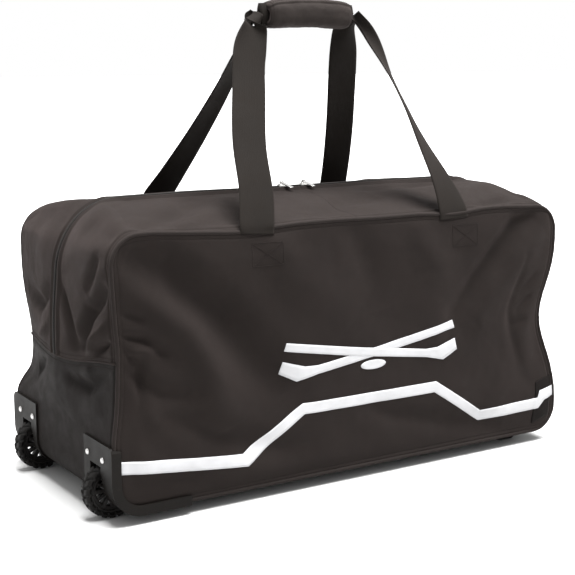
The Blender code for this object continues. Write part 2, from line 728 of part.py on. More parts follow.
def make_rivets(face, sign):
    """Domed rivets that hold the end plate."""
    head_x = -HALF_L - GAP - GUARD_T - GAP
    for number, step in enumerate((-RIVET_STEP, RIVET_STEP), 1):
        profile = [(RIVET_SHANK_R, RIVET_SHANK), (RIVET_SHANK_R, 0.0), (RIVET_R, 0.0)]
        for degrees in (25, 50, 70, 84):
            lean = math.radians(degrees)
            profile.append((RIVET_R * math.cos(lean), -RIVET_DOME * math.sin(lean)))
        body = pin(profile, (head_x, sign * WHEEL_Y + step, RIVET_Z), 14, "X")
        add_object(f"rivet_{face}_{number}", body, "steel", smooth=True)


def tread_radius(i, shoulder):
    """Blocks and grooves take turns round the tyre."""
    groove = i % 2 == 1
    return WHEEL_R - (TREAD_DEPTH if groove else 0.0) - shoulder


def make_wheel(face, sign):
    """Treaded tyre on a spoked hub with a plain bush."""
    centre = (WHEEL_X, sign * WHEEL_Y, WHEEL_R)
    half = WHEEL_W / 2
    bore = RIM_R + GAP
    sections = []
    steps = TREAD_BLOCKS * 2
    for i in range(steps):
        angle = 2 * math.pi * (i + 0.5) / steps - math.pi / 2
        ring = []
        low, high = tread_radius(i, TREAD_SHOULDER), tread_radius(i, 0.001)
        profile = [(bore, 0.002 - half), (low, -half), (high, 0.004 - half),
                   (tread_radius(i, 0.0), 0.0), (high, half - 0.004), (low, half), (bore, half - 0.002)]
        for radius, along in profile:
            ring.append((centre[0] + radius * math.cos(angle), centre[1] + along,
                         centre[2] + radius * math.sin(angle)))
        sections.append(ring)
    add_object(f"tyre_{face}", loft(sections, closed=True), "tyre", centre)

    make_hub(face, centre)
    half = HUB_W / 2 + BUSH_PROUD
    profile = [(AXLE_R + GAP, -half), (BUSH_R, -half), (BUSH_R, half), (AXLE_R + GAP, half)]
    add_object(f"bush_{face}", turned(profile, centre, 20), "bush", centre, True)


def make_hub(face, centre):
    """Rim and boss joined by a thinner web that is cut into spokes."""
    half = HUB_W / 2
    web = half - HUB_STEP
    rim_in = RIM_R - HUB_STEP
    side = [(BUSH_R + GAP, half + 0.002), (HUB_R, half + 0.002), (HUB_R + 0.001, web),
            (rim_in - 0.001, web), (rim_in, half), (RIM_R, half)]
    profile = [(radius, -along) for radius, along in side] + list(reversed(side))
    hub = add_object(f"hub_{face}", turned(profile, centre, 36), "hub", centre)
    low_r, high_r = HUB_R + 0.002, RIM_R - 0.005
    low_share = math.pi / SPOKES - math.asin(SPOKE_HALF_W / low_r)
    high_share = math.pi / SPOKES - math.asin(SPOKE_HALF_W / high_r)
    windows = []
    for i in range(SPOKES):
        middle = 2 * math.pi * (i + 0.5) / SPOKES
        outline = []
        for radius, share in ((low_r, -low_share), (high_r, -high_share), (high_r, 0.0),
                              (high_r, high_share), (low_r, low_share)):
            outline.append((centre[0] + radius * math.cos(middle + share),
                            centre[2] + radius * math.sin(middle + share)))
        windows.append(prism(outline, 1, centre[1] - PAST, centre[1] + PAST))
    boolean(hub, cutter(f"windows_{face}", join(*windows)), "DIFFERENCE")


def make_axle(face, sign):
    """Bolt through the well walls, with a nut on its inner end."""
    centre = (WHEEL_X, sign * WHEEL_Y, WHEEL_R)
    wall = WELL_HALF_W + WELL_WALL + GAP
    head_r, head_h = AXLE_HEAD
    profile = [(AXLE_R, -sign * (wall + AXLE_TAIL)), (AXLE_R, sign * wall), (head_r, sign * wall),
               (head_r, sign * (wall + head_h * 0.6)), (head_r * 0.66, sign * (wall + head_h))]
    add_object(f"axle_{face}", pin(profile, centre, 18), "steel", centre, True)
    bore = (AXLE_R + GAP) / math.cos(math.pi / 6)
    sections = []
    for radius, along in ((bore, wall), (NUT_R, wall), (NUT_R, wall + NUT_H), (bore, wall + NUT_H)):
        corners = arc((centre[0], centre[2]), radius, 0, 300, 5)
        sections.append([(x, centre[1] - sign * along, z) for x, z in corners])
    add_object(f"axle_nut_{face}", loft(sections, closed=True), "steel", centre)


def foot_plan(sign, inset):
    """Rounded outline (x, y) of a foot, `inset` inside its nominal edge."""
    x_low, x_high = FOOT_X[0] + inset, FOOT_X[1] - inset
    y_low, y_high = sorted((sign * (FOOT_Y[0] + inset), sign * (FOOT_Y[1] - inset)))
    return rounded([(x_low, y_low, FOOT_CORNER), (x_high, y_low, FOOT_CORNER),
                    (x_high, y_high, FOOT_CORNER), (x_low, y_high, FOOT_CORNER)], 4)


def make_feet():
    """Moulded feet that keep the tow end level."""
    top = BASE_Z - GAP
    flange_t, flange_out = FOOT_FLANGE
    under = top - flange_t
    levels = ((0.0, FOOT_BEVEL), (FOOT_BEVEL / 3, FOOT_BEVEL * 0.7), (under, FOOT_BEVEL / 4),
              (under, -flange_out), (top, -flange_out))
    for face, sign in (("front", -1), ("rear", 1)):
        sections = [[(x, y, z) for x, y in foot_plan(sign, inset)] for z, inset in levels]
        add_object(f"foot_{face}", loft(sections), "moulding")


# ---------------------------------------------------------------- tow loop
def make_tow_loop():
    """Bracket riveted to the tow end, its bar, and a webbing loop that swings on it."""
    wall = HALF_L + GAP
    half_w = EAR_Y + EAR_T + BRACKET_EDGE
    plate = box((wall, -half_w, BAR_Z - BRACKET_HALF_H),
                (wall + BRACKET_T, half_w, BAR_Z + BRACKET_HALF_H))
    bracket = add_object("tow_bracket", plate, "moulding")
    ears = []
    root, reach = wall + BRACKET_T / 2, BAR_X + EAR_REACH
    for side in (-1, 1):
        low, high = sorted((side * EAR_Y, side * (EAR_Y + EAR_T)))
        below, above = BAR_Z - EAR_HALF_H, BAR_Z + EAR_HALF_H
        outline = rounded([(root, below, 0.0), (reach, below, EAR_CORNER),
                           (reach, above, EAR_CORNER), (root, above, 0.0)], 4)
        ears.append(prism(outline, 1, low, high))
    boolean(bracket, cutter("tow_ears", join(*ears)), "UNION")
    bore = pin([(BAR_R + GAP, -half_w), (BAR_R + GAP, half_w)], (BAR_X, 0, BAR_Z), 14)
    boolean(bracket, cutter("tow_bore", bore), "DIFFERENCE")
    end = EAR_Y + EAR_T + 2 * GAP
    profile = [(BAR_R, -end), (BAR_R, end), (BAR_R * 1.7, end), (BAR_R * 1.7, end + 0.0016),
               (BAR_R * 0.8, end + 0.0024)]
    add_object("tow_bar", pin(profile, (BAR_X, 0, BAR_Z), 14), "steel", smooth=True)
    centre_z = BAR_Z + BAR_R + LOOP_CLEAR + LOOP_T - LOOP_HALF_Z
    sections = []
    for i in range(LOOP_STEPS):
        angle = 2 * math.pi * i / LOOP_STEPS
        ring = []
        for inset, y in ((0.0, -LOOP_HALF_W), (0.0, LOOP_HALF_W),
                         (LOOP_T, LOOP_HALF_W), (LOOP_T, -LOOP_HALF_W)):
            ring.append((BAR_X + (LOOP_HALF_X - inset) * math.cos(angle), y,
                         centre_z + (LOOP_HALF_Z - inset) * math.sin(angle)))
        sections.append(ring)
    add_object("tow_loop", loft(sections, closed=True), "webbing", (BAR_X, 0, BAR_Z))


def main():
    clear_scene()
    make_front_and_rear()
    make_piping()
    make_top_and_ends()
    make_zip()
    make_lower_ends()
    make_base()
    make_strap_anchors()
    make_strap_legs()
    make_grip()
    make_sliders()
    for face, sign in (("front", -1), ("rear", 1)):
        make_housing(face, sign)
        make_rivets(face, sign)
        make_wheel(face, sign)
        make_axle(face, sign)
    make_feet()
    make_tow_loop()


main()
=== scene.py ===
"""Looks of the wheeled equipment bag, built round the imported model."""
import math

import bmesh
import bpy
import numpy as np
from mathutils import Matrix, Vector, noise
from mathutils.bvhtree import BVHTree
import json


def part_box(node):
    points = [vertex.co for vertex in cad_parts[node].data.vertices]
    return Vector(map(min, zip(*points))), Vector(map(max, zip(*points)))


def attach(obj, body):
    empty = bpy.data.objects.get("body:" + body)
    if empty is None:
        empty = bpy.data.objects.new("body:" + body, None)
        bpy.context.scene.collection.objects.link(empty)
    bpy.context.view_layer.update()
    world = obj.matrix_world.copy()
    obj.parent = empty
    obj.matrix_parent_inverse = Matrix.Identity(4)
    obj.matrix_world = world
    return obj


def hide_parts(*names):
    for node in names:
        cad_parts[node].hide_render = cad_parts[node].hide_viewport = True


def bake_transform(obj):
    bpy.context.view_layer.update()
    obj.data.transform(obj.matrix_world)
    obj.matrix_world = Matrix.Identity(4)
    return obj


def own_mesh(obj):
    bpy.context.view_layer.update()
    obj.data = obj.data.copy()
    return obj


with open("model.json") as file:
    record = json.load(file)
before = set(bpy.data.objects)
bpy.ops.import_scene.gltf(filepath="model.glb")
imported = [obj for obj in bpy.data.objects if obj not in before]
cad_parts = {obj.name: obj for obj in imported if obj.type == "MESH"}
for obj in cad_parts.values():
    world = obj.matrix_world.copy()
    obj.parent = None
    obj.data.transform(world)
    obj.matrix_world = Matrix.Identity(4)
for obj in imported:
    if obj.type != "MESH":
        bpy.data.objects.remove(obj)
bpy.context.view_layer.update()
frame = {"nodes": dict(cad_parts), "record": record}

# ---------------------------------------------------------------- sizes from the frame
FRONT_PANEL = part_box("front_panel")
END_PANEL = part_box("tow_end_lower")
HALF_D = -FRONT_PANEL[0][1]
HALF_L = END_PANEL[1][0]
BREAK_Z = END_PANEL[1][2]
BASE_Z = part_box("base_panel")[0][2]
SEAM_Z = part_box("front_piping")[1][2]
RIDGE_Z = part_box("top_flap_front")[1][2]
CROWN = RIDGE_Z - SEAM_Z
ZIP_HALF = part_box("zip_tape_rear_top")[1][1]
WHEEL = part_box("tyre_front")
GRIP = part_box("grip_wrap")
GRIP_MID = [(a + b) / 2 for a, b in zip(*GRIP)]
GRIP_HALF = [(b - a) / 2 for a, b in zip(*GRIP)]
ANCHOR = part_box("strap_anchor_front_tow_end")
STRAP_W = ANCHOR[1][0] - ANCHOR[0][0]

PIPING_R = 0.003
EDGE_Y = HALF_D - PIPING_R      # middle of the piping
EDGE_X = HALF_L - PIPING_R
CORNER_R = 0.045          # corners of the front and rear panels
TOP_RADIUS = 0.045        # top corners at the seams
ZIP_RADIUS = 0.100        # top corners along the zip
WAIST_Z = 0.225           # height where the slack sides fall in
SHEET = 0.0012            # thickness of the cloth
MIDDLE = np.array((0.0, 0.0, WAIST_Z))
LOW_MIDDLE = (0.0, 0.0, 0.1)
VALLEY = 1.3              # inward folds are this much deeper than the listed heights

# how far the sides fall in at the waist: (front, rear)
WHEEL_WAIST = (0.012, 0.019)
TOW_WAIST = (0.038, 0.030)
WAIST_Y = (0.004, 0.020)  # front panel, rear panel
WAIST_HALF = 0.085        # half the height of the waist
ZIP_BULGE = 0.006         # the wheel end stands out a little along the zip
SLUMP = 0.011             # the upper ends lean inward
REAR_LEAN = 0.013         # the rear panel leans forward
END_SEAM_RISE = 0.018     # the wheel end's seam rises towards the front
DRIFT = 0.0035            # slow unevenness of the whole shape
# places along X where the top seams dip (or rise, if less than 0), and by how much
SEAM_DIPS = ((-0.205, 0.06, 0.0055), (0.185, 0.05, 0.0055), (0.37, 0.05, 0.003), (-0.36, 0.05, -0.004))


# ---------------------------------------------------------------- small mathematics
def bump(value, centre, width):
    return np.exp(-((value - centre) / width) ** 2)


def ramp(value, low, high):
    t = np.clip((value - low) / (high - low), 0.0, 1.0)
    return t * t * (3 - 2 * t)


def mix(a, b, share):
    return a + (b - a) * share


def field(points, scale, seed):
    """Smooth noise at each point, about -1 to 1."""
    flat = points.reshape(-1, 3)
    values = [noise.noise(Vector(p) * scale + Vector((seed, seed * 0.7, -seed))) for p in flat]
    return np.array(values).reshape(points.shape[:-1])


def deform(points):
    """Move points of the full, straight bag to its slack, half-filled shape."""
    p = np.asarray(points, dtype=float)
    x, y, z = p[..., 0], p[..., 1], p[..., 2]
    q = p.copy()
    side = np.where(x < 0, -1.0, 1.0)
    end = ramp(np.abs(x), 0.15, HALF_L)
    rear = ramp(y, -HALF_D, HALF_D)
    hollow = rear * (x < 0)
    waist = bump(z, WAIST_Z - 0.030 * hollow, WAIST_HALF + 0.025 * hollow)
    free = np.where(x < 0, ramp(z, 0.112, 0.17), ramp(z, 0.03, 0.12))
    share_y = np.abs(y) / HALF_D
    pull = np.where(x < 0, mix(-ZIP_BULGE, mix(*WHEEL_WAIST, rear), share_y ** 1.3), mix(*TOW_WAIST, rear))
    upper = ramp(z, 0.27, SEAM_Z)
    slump = np.where(x < 0, mix(0.0, SLUMP - 0.001, rear), SLUMP) * upper
    q[..., 0] -= side * end * free * (waist * pull + slump)
    inward = np.where(y < 0, WAIST_Y[0], WAIST_Y[1]) * waist
    inward = inward + np.where(y < 0, 0.0, REAR_LEAN) * ramp(z, 0.12, 0.2)
    q[..., 1] -= np.sign(y) * share_y * free * inward * mix(0.35, 1.0, end)
    near_seam = ramp(np.abs(y), 0.03, HALF_D)
    dip = sum(depth * bump(x, place, width) for place, width, depth in SEAM_DIPS)
    q[..., 2] -= dip * upper * near_seam
    q[..., 2] += END_SEAM_RISE * end * bump(z, BREAK_Z, 0.045) * ramp(-y, 0.03, HALF_D) * (x < 0)
    drift = DRIFT * free
    for axis, seed in enumerate((3.1, 8.4, 15.2)):
        q[..., axis] += drift * field(p, 6.0, seed) * (0.6 if axis == 2 else 1.0)
    return q


# ---------------------------------------------------------------- cloth grids
def spaced(length, step, fine=0.0, reach=0.0):
    """Positions from 0 to length, `fine` apart within `reach` of both ends."""
    places = [0.0]
    while places[-1] < length - 1e-9:
        here = places[-1]
        close = min(here, length - here) < reach
        places.append(min(length, here + (fine if close else step)))
    if len(places) > 2 and length - places[-2] < 0.3 * (fine or step):
        places.pop(-2)
    return np.array(places)


def weights(count, places):
    """Catmull-Rom weights that read a row of `count` values at places 0 to 1."""
    table = np.zeros((len(places), count))
    for row, place in enumerate(places):
        at = min(max(place, 0.0), 1.0) * (count - 1)
        k = min(int(at), count - 2)
        t = at - k
        four = (0.5 * (-t + 2 * t * t - t ** 3), 0.5 * (2 - 5 * t * t + 3 * t ** 3),
                0.5 * (t + 4 * t * t - 3 * t ** 3), 0.5 * (t ** 3 - t * t))
        for offset, value in zip((-1, 0, 1, 2), four):
            j = k + offset
            if j < 0:
                table[row, 0] += 2 * value
                table[row, 1] -= value
            elif j >= count:
                table[row, count - 1] += 2 * value
                table[row, count - 2] -= value
            else:
                table[row, j] += value
    return table


def resample(grid, us, vs):
    """Read a coarse grid smoothly at finer places; us and vs run 0 to 1."""
    return np.einsum("ai,bj,ijk->abk", weights(grid.shape[0], us), weights(grid.shape[1], vs), grid)


def normals(grid):
    along = np.gradient(grid, axis=0)
    across = np.gradient(grid, axis=1)
    cross = np.cross(along, across)
    return cross / np.maximum(np.linalg.norm(cross, axis=-1, keepdims=True), 1e-12)


def new_mesh(name, points, faces, cloth=None, smooth=True):
    mesh = bpy.data.meshes.new(name)
    mesh.from_pydata([tuple(p) for p in points], [], faces)
    if cloth is not None:
        layer = mesh.attributes.new("cloth", "FLOAT_VECTOR", "POINT")
        layer.data.foreach_set("vector", np.asarray(cloth, dtype=np.float32).ravel())
    if smooth:
        mesh.shade_smooth()
    piece = bpy.data.objects.new(name, mesh)
    bpy.context.scene.collection.objects.link(piece)
    return piece


def grid_faces(rows, columns, keep=None):
    """Quads of a grid of points; `keep` leaves some out."""
    return [[i * columns + j, (i + 1) * columns + j, (i + 1) * columns + j + 1, i * columns + j + 1]
            for i in range(rows - 1) for j in range(columns - 1) if keep is None or keep[i, j]]


def ring_faces(count, ring, closed):
    """Quads between rings of points, and end caps where the row of rings is open."""
    faces = []
    for i in range(count if closed else count - 1):
        j = (i + 1) % count
        for k in range(ring):
            m = (k + 1) % ring
            faces.append([i * ring + k, i * ring + m, j * ring + m, j * ring + k])
    if not closed:
        faces.append(list(range(ring))[::-1])
        faces.append([(count - 1) * ring + k for k in range(ring)])
    return faces


def grid_object(name, grid, us, vs, outward, keep=None):
    """Sheet of cloth from a grid of points, its faces turned outward."""
    faces = grid_faces(*grid.shape[:2], keep)
    if np.mean(normals(grid).reshape(-1, 3) @ np.array(outward)) < 0:
        faces = [face[::-1] for face in faces]
    cloth = np.zeros(grid.shape)
    cloth[..., 0] = us[:, None]
    cloth[..., 1] = vs[None, :]
    piece = new_mesh(name, grid.reshape(-1, 3), faces, cloth.reshape(-1, 3))
    if keep is not None:
        body = bmesh.new()
        body.from_mesh(piece.data)
        bmesh.ops.delete(body, geom=[v for v in body.verts if not v.link_faces], context="VERTS")
        body.to_mesh(piece.data)
        body.free()
    return piece


def thicken(piece, thickness=SHEET, offset=-1.0):
    step = piece.modifiers.new("thickness", "SOLIDIFY")
    step.thickness = thickness
    step.offset = offset
    return piece


def settle(grid, rest, pinned, frames, limit):
    """Let loose cloth between its seams buckle: `rest` is how it was cut."""
    piece = new_mesh("settling", grid.reshape(-1, 3), grid_faces(*grid.shape[:2]))
    group = piece.vertex_groups.new(name="pins")
    group.add([int(k) for k in np.flatnonzero(pinned.ravel())], 1.0, "REPLACE")
    piece.shape_key_add(name="Basis")
    cut = piece.shape_key_add(name="cut")
    cut.data.foreach_set("co", rest.astype(np.float32).ravel())
    cut.value = 0.0
    cloth = piece.modifiers.new("cloth", "CLOTH")
    settings = cloth.settings
    settings.vertex_group_mass = "pins"
    settings.rest_shape_key = cut
    settings.quality = 8
    settings.mass = 0.25
    settings.tension_stiffness = 25
    settings.compression_stiffness = 25
    settings.shear_stiffness = 12
    settings.bending_stiffness = 0.6
    settings.effector_weights.gravity = 0.25
    cloth.point_cache.frame_start = 1
    cloth.point_cache.frame_end = frames
    scene = bpy.context.scene
    for number in range(1, frames + 1):
        scene.frame_set(number)
    seen = piece.evaluated_get(bpy.context.evaluated_depsgraph_get())
    flat = np.empty(grid.size, dtype=np.float32)
    seen.data.vertices.foreach_get("co", flat)
    moved = flat.reshape(grid.shape).astype(float) - grid
    scene.frame_set(1)
    bpy.data.objects.remove(piece, do_unlink=True)
    reach = np.linalg.norm(moved, axis=-1, keepdims=True)
    share = limit * np.tanh(reach / limit) / np.maximum(reach, 1e-9)
    return grid + moved * share


# ---------------------------------------------------------------- node materials
class Nodes:
    """Short way to build a node tree."""

    def __init__(self, name):
        self.material = bpy.data.materials.new(name)
        self.material.use_nodes = True
        self.tree = self.material.node_tree
        self.shader = self.tree.nodes["Principled BSDF"]

    def add(self, kind, **settings):
        node = self.tree.nodes.new("ShaderNode" + kind)
        for key, value in settings.items():
            setattr(node, key, value)
        return node

    def link(self, source, target):
        self.tree.links.new(source, target)

    def math(self, operation, a, b=0.0):
        node = self.add("Math", operation=operation)
        for socket, value in zip(node.inputs, (a, b)):
            if isinstance(value, (int, float)):
                socket.default_value = value
            else:
                self.link(value, socket)
        return node.outputs[0]

    def noise(self, vector, scale, detail=3.0, roughness=0.55):
        node = self.add("TexNoise")
        self.link(vector, node.inputs["Vector"])
        node.inputs["Scale"].default_value = scale
        node.inputs["Detail"].default_value = detail
        node.inputs["Roughness"].default_value = roughness
        return node.outputs["Fac"]

    def span(self, value, low, high, to_low, to_high):
        node = self.add("MapRange")
        self.link(value, node.inputs["Value"])
        labels = ("From Min", "From Max", "To Min", "To Max")
        for label, number in zip(labels, (low, high, to_low, to_high)):
            node.inputs[label].default_value = number
        return node.outputs["Result"]

    def blend(self, share, first, second):
        node = self.add("Mix", data_type="RGBA")
        if isinstance(share, (int, float)):
            node.inputs["Factor"].default_value = share
        else:
            self.link(share, node.inputs["Factor"])
        for label, value in (("A", first), ("B", second)):
            socket = [s for s in node.inputs if s.name == label and s.type == "RGBA"][0]
            if isinstance(value, tuple):
                socket.default_value = (*value, 1.0)
            else:
                self.link(value, socket)
        return [s for s in node.outputs if s.type == "RGBA"][0]

    def bump(self, height, strength, distance, under=None):
        node = self.add("Bump")
        node.inputs["Strength"].default_value = strength
        node.inputs["Distance"].default_value = distance
        self.link(height, node.inputs["Height"])
        if under is not None:
            self.link(under, node.inputs["Normal"])
        return node.outputs["Normal"]

    def surface(self, colour, rough, normal, fixed):
        """Connect the shader, set its fixed values and give back the material."""
        for label, source in (("Base Color", colour), ("Roughness", rough), ("Normal", normal)):
            self.link(source, self.shader.inputs[label])
        for label, value in fixed.items():
            self.shader.inputs[label].default_value = value
        return self.material

    def place(self, cloth):
        """Position along the cloth where it is stored, else in the object's axes."""
        if cloth:
            return self.add("Attribute", attribute_name="cloth").outputs["Vector"]
        return self.add("TexCoord").outputs["Object"]


def shade(colour, factor):
    return tuple(min(1.0, c * factor) for c in colour)


LINT = (0.07, 0.065, 0.06)
SHEEN_TINT = (0.85, 0.68, 0.65)


def woven(name, colour, pitch=0.0011, cloth=True, depth=0.0003, rough=(0.68, 0.9), sheen=0.05,
          stretch=1.0, rib=0.0, dust=0.25):
    """Woven cloth: crossing yarns, slubs, faded high spots and a little dust."""
    n = Nodes(name)
    place = n.place(cloth)
    parts = n.add("SeparateXYZ")
    n.link(place, parts.inputs[0])
    turn = 2 * math.pi / pitch
    warp = n.math("SINE", n.math("MULTIPLY", parts.outputs[0], turn))
    weft = n.math("SINE", n.math("MULTIPLY", parts.outputs[1], turn * stretch))
    yarn = n.math("MULTIPLY", warp, weft)
    if rib:
        ribs = n.math("SINE", n.math("MULTIPLY", parts.outputs[1], 2 * math.pi / rib))
        yarn = n.math("ADD", n.math("MULTIPLY", yarn, 0.7), n.math("MULTIPLY", ribs, 0.4))
    if not cloth:
        third = n.math("SINE", n.math("MULTIPLY", parts.outputs[2], turn))
        yarn = n.math("ADD", yarn, n.math("MULTIPLY", third, weft))
    slub = n.noise(place, 1400.0, 2.0)
    broad = n.noise(place, 7.0, 4.0)
    patch = n.noise(place, 38.0, 4.0, 0.65)
    fade = n.span(n.math("ADD", n.math("MULTIPLY", broad, 0.6), n.math("MULTIPLY", patch, 0.4)),
                  0.36, 0.66, 0.0, 1.0)
    tone = n.blend(fade, shade(colour, 0.84), shade(colour, 1.2))
    tone = n.blend(n.span(yarn, -1.0, 1.0, 0.0, 0.30), tone, shade(colour, 1.7))
    lint = n.span(n.noise(place, 620.0, 1.0), 0.73, 0.78, 0.0, dust)
    tone = n.blend(lint, tone, LINT)
    uneven = n.span(n.math("ADD", patch, n.math("MULTIPLY", slub, 0.5)), 0.5, 1.0, *rough)
    soft = n.bump(patch, 0.25, 0.0012)
    fine = n.bump(n.math("ADD", yarn, n.math("MULTIPLY", slub, 1.2)), 0.45, depth, soft)
    return n.surface(tone, uneven, fine, {"Sheen Weight": sheen, "Sheen Roughness": 0.45,
                                          "Sheen Tint": (*SHEEN_TINT, 1.0), "Specular IOR Level": 0.05})


def moulded(name, colour, rough=(0.38, 0.58), grain=1600.0, depth=0.00012,
            scuff=(0.024, 0.022, 0.020), gloss=0.07):
    """Moulded plastic: fine spark-eroded grain, scuffs and rubbed patches."""
    n = Nodes(name)
    place = n.place(False)
    grit = n.noise(place, grain, 2.0)
    broad = n.noise(place, 16.0, 4.0, 0.6)
    stretched = n.add("Mapping")
    stretched.inputs["Scale"].default_value = (60.0, 60.0, 620.0)
    n.link(place, stretched.inputs["Vector"])
    scratch = n.span(n.noise(stretched.outputs[0], 1.0, 3.0), 0.68, 0.74, 0.0, 0.5)
    tone = n.blend(n.span(broad, 0.35, 0.65, 0.0, 1.0), shade(colour, 0.85), shade(colour, 1.2))
    tone = n.blend(scratch, tone, scuff)
    uneven = n.span(n.math("ADD", broad, n.math("MULTIPLY", grit, 0.4)), 0.5, 0.9, *rough)
    grain_bump = n.bump(grit, 0.5, depth, n.bump(broad, 0.15, 0.0008))
    return n.surface(tone, uneven, grain_bump, {"Specular IOR Level": gloss})


def metal(name, colour, rough=(0.18, 0.36)):
    """Plated metal with fine polishing lines and faint tarnish."""
    n = Nodes(name)
    place = n.place(False)
    lines = n.add("Mapping")
    lines.inputs["Scale"].default_value = (3200.0, 260.0, 260.0)
    n.link(place, lines.inputs["Vector"])
    brushed = n.noise(lines.outputs[0], 1.0, 2.0)
    tarnish = n.noise(place, 240.0, 4.0)
    tone = n.blend(n.span(tarnish, 0.42, 0.7, 0.0, 1.0), colour, shade(colour, 0.72))
    uneven = n.span(n.math("ADD", brushed, tarnish), 0.7, 1.3, *rough)
    return n.surface(tone, uneven, n.bump(brushed, 0.2, 0.00005), {"Metallic": 1.0})


def printed(name, colour):
    """Thin white transfer print: the weave shows through, with rubbed spots."""
    n = Nodes(name)
    place = n.place(True)
    parts = n.add("SeparateXYZ")
    n.link(place, parts.inputs[0])
    turn = 2 * math.pi / 0.0011
    yarn = n.math("MULTIPLY", n.math("SINE", n.math("MULTIPLY", parts.outputs[0], turn)),
                  n.math("SINE", n.math("MULTIPLY", parts.outputs[1], turn)))
    patch = n.noise(place, 60.0, 4.0)
    tone = n.blend(n.span(patch, 0.35, 0.7, 0.0, 1.0), colour, shade(colour, 0.93))
    rub = n.span(n.noise(place, 420.0, 3.0, 0.7), 0.70, 0.76, 0.0, 0.35)
    worn = n.blend(rub, tone, shade(colour, 0.55))
    return n.surface(worn, n.span(patch, 0.3, 0.7, 0.42, 0.6), n.bump(yarn, 0.25, 0.00012), {})


MATERIALS = {
    "bag_fabric": woven("bag_cloth", (0.0108, 0.0085, 0.0077)),
    "base_fabric": woven("base_cloth", (0.0042, 0.0034, 0.0030), pitch=0.0016, rough=(0.55, 0.78),
                         sheen=0.02),
    "piping": woven("piping_cloth", (0.0125, 0.0102, 0.0094), pitch=0.0008),
    "webbing": woven("webbing_cloth", (0.0086, 0.0072, 0.0062), pitch=0.0017, depth=0.0003, stretch=0.6,
                     rib=0.0029, dust=0.12, sheen=0.02),
    "grip": woven("grip_cloth", (0.0190, 0.0158, 0.0145), pitch=0.0013, depth=0.0004),
    "zip_tape": woven("zip_cloth", (0.0150, 0.0130, 0.0120), pitch=0.0009, sheen=0.03),
    "board": woven("board_face", (0.060, 0.055, 0.050), cloth=False, pitch=0.002, sheen=0.0),
    "moulding": moulded("guard_plastic", (0.0056, 0.0047, 0.0041)),
    "tyre": moulded("tyre_rubber", (0.0070, 0.0064, 0.0060), rough=(0.4, 0.62), grain=900.0, depth=0.0002),
    "hub": moulded("hub_plastic", (0.0110, 0.0100, 0.0095), rough=(0.18, 0.34), grain=500.0, depth=0.00005),
    "bush": moulded("bush_plastic", (0.42, 0.41, 0.38), scuff=(0.3, 0.29, 0.27)),
    "steel": metal("plated_steel", (0.60, 0.59, 0.58)),
    "slider_metal": metal("nickel_plate", (0.74, 0.73, 0.71), rough=(0.12, 0.28)),
    "print": printed("white_print", (0.39, 0.39, 0.40)),
    "thread": woven("thread", (0.0150, 0.0120, 0.0110), pitch=0.0007, cloth=False, sheen=0.04),
    "plain_webbing": woven("webbing_face", (0.0190, 0.0170, 0.0150), cloth=False, pitch=0.0019),
    "coil": moulded("coil_nylon", (0.020, 0.019, 0.018), rough=(0.3, 0.45), grain=700.0),
}


def finish(piece, slot_name, body, *nodes, look=None):
    """Material (chosen by the record slot's name unless a look is given), body and replaced nodes of a
    piece.
    """
    piece.data.materials.clear()
    piece.data.materials.append(MATERIALS[look or slot_name])
    if body:
        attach(piece, body)
    if nodes:
        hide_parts(*nodes)
    return piece


def dress_cad_nodes():
    """Carried-over nodes keep their shape and get rounded edges and real materials."""
    edges = {"moulding": 0.0007, "tyre": 0.0006, "hub": 0.0005, "bush": 0.0003, "steel": 0.0003,
             "slider_metal": 0.0005}
    for part in frame["record"]["subparts"]:
        node = part["node"]
        slot_name = part["material_slot"]
        piece = frame["nodes"][node]
        piece.data.materials.clear()
        piece.data.materials.append(MATERIALS["plain_webbing" if slot_name == "webbing" else slot_name])
        if slot_name in edges:
            joined = piece.modifiers.new("joined", "WELD")
            joined.merge_threshold = 0.00002
            step = piece.modifiers.new("soft_edges", "BEVEL")
            step.width = edges[slot_name]
            step.segments = 2
            step.limit_method = "ANGLE"
            step.angle_limit = math.radians(30)
            step.harden_normals = True
            step.use_clamp_overlap = True


# ---------------------------------------------------------------- creases
def polyline_distance(points, line):
    """Distance of each point to a line of 3-D points, and the share along it."""
    flat = points.reshape(-1, 3)
    best = np.full(len(flat), 9.0)
    along = np.zeros(len(flat))
    spans = len(line) - 1
    for k in range(spans):
        a, b = np.array(line[k]), np.array(line[k + 1])
        t = np.clip((flat - a) @ (b - a) / np.dot(b - a, b - a), 0.0, 1.0)
        far = np.linalg.norm(flat - a - t[:, None] * (b - a), axis=1)
        nearer = far < best
        best[nearer] = far[nearer]
        along[nearer] = (k + t[nearer]) / spans
    return best.reshape(points.shape[:-1]), along.reshape(points.shape[:-1])


def creases(points, folds):
    """Sum of folds; each is (line, height, width), fading out towards its ends."""
    total = np.zeros(points.shape[:-1])
    for line, height, width in folds:
        far, along = polyline_distance(points, line)
        taper = 0.25 + 0.75 * np.sin(np.pi * np.clip(along, 0.0, 1.0)) ** 0.6
        depth = height * (1.0 if height > 0 else VALLEY)
        total += depth * taper * bump(far, 0.0, width * (0.7 + 0.5 * along))
    return total


def on_face(sign, line):
    return [(x, sign * HALF_D, z) for x, z in line]


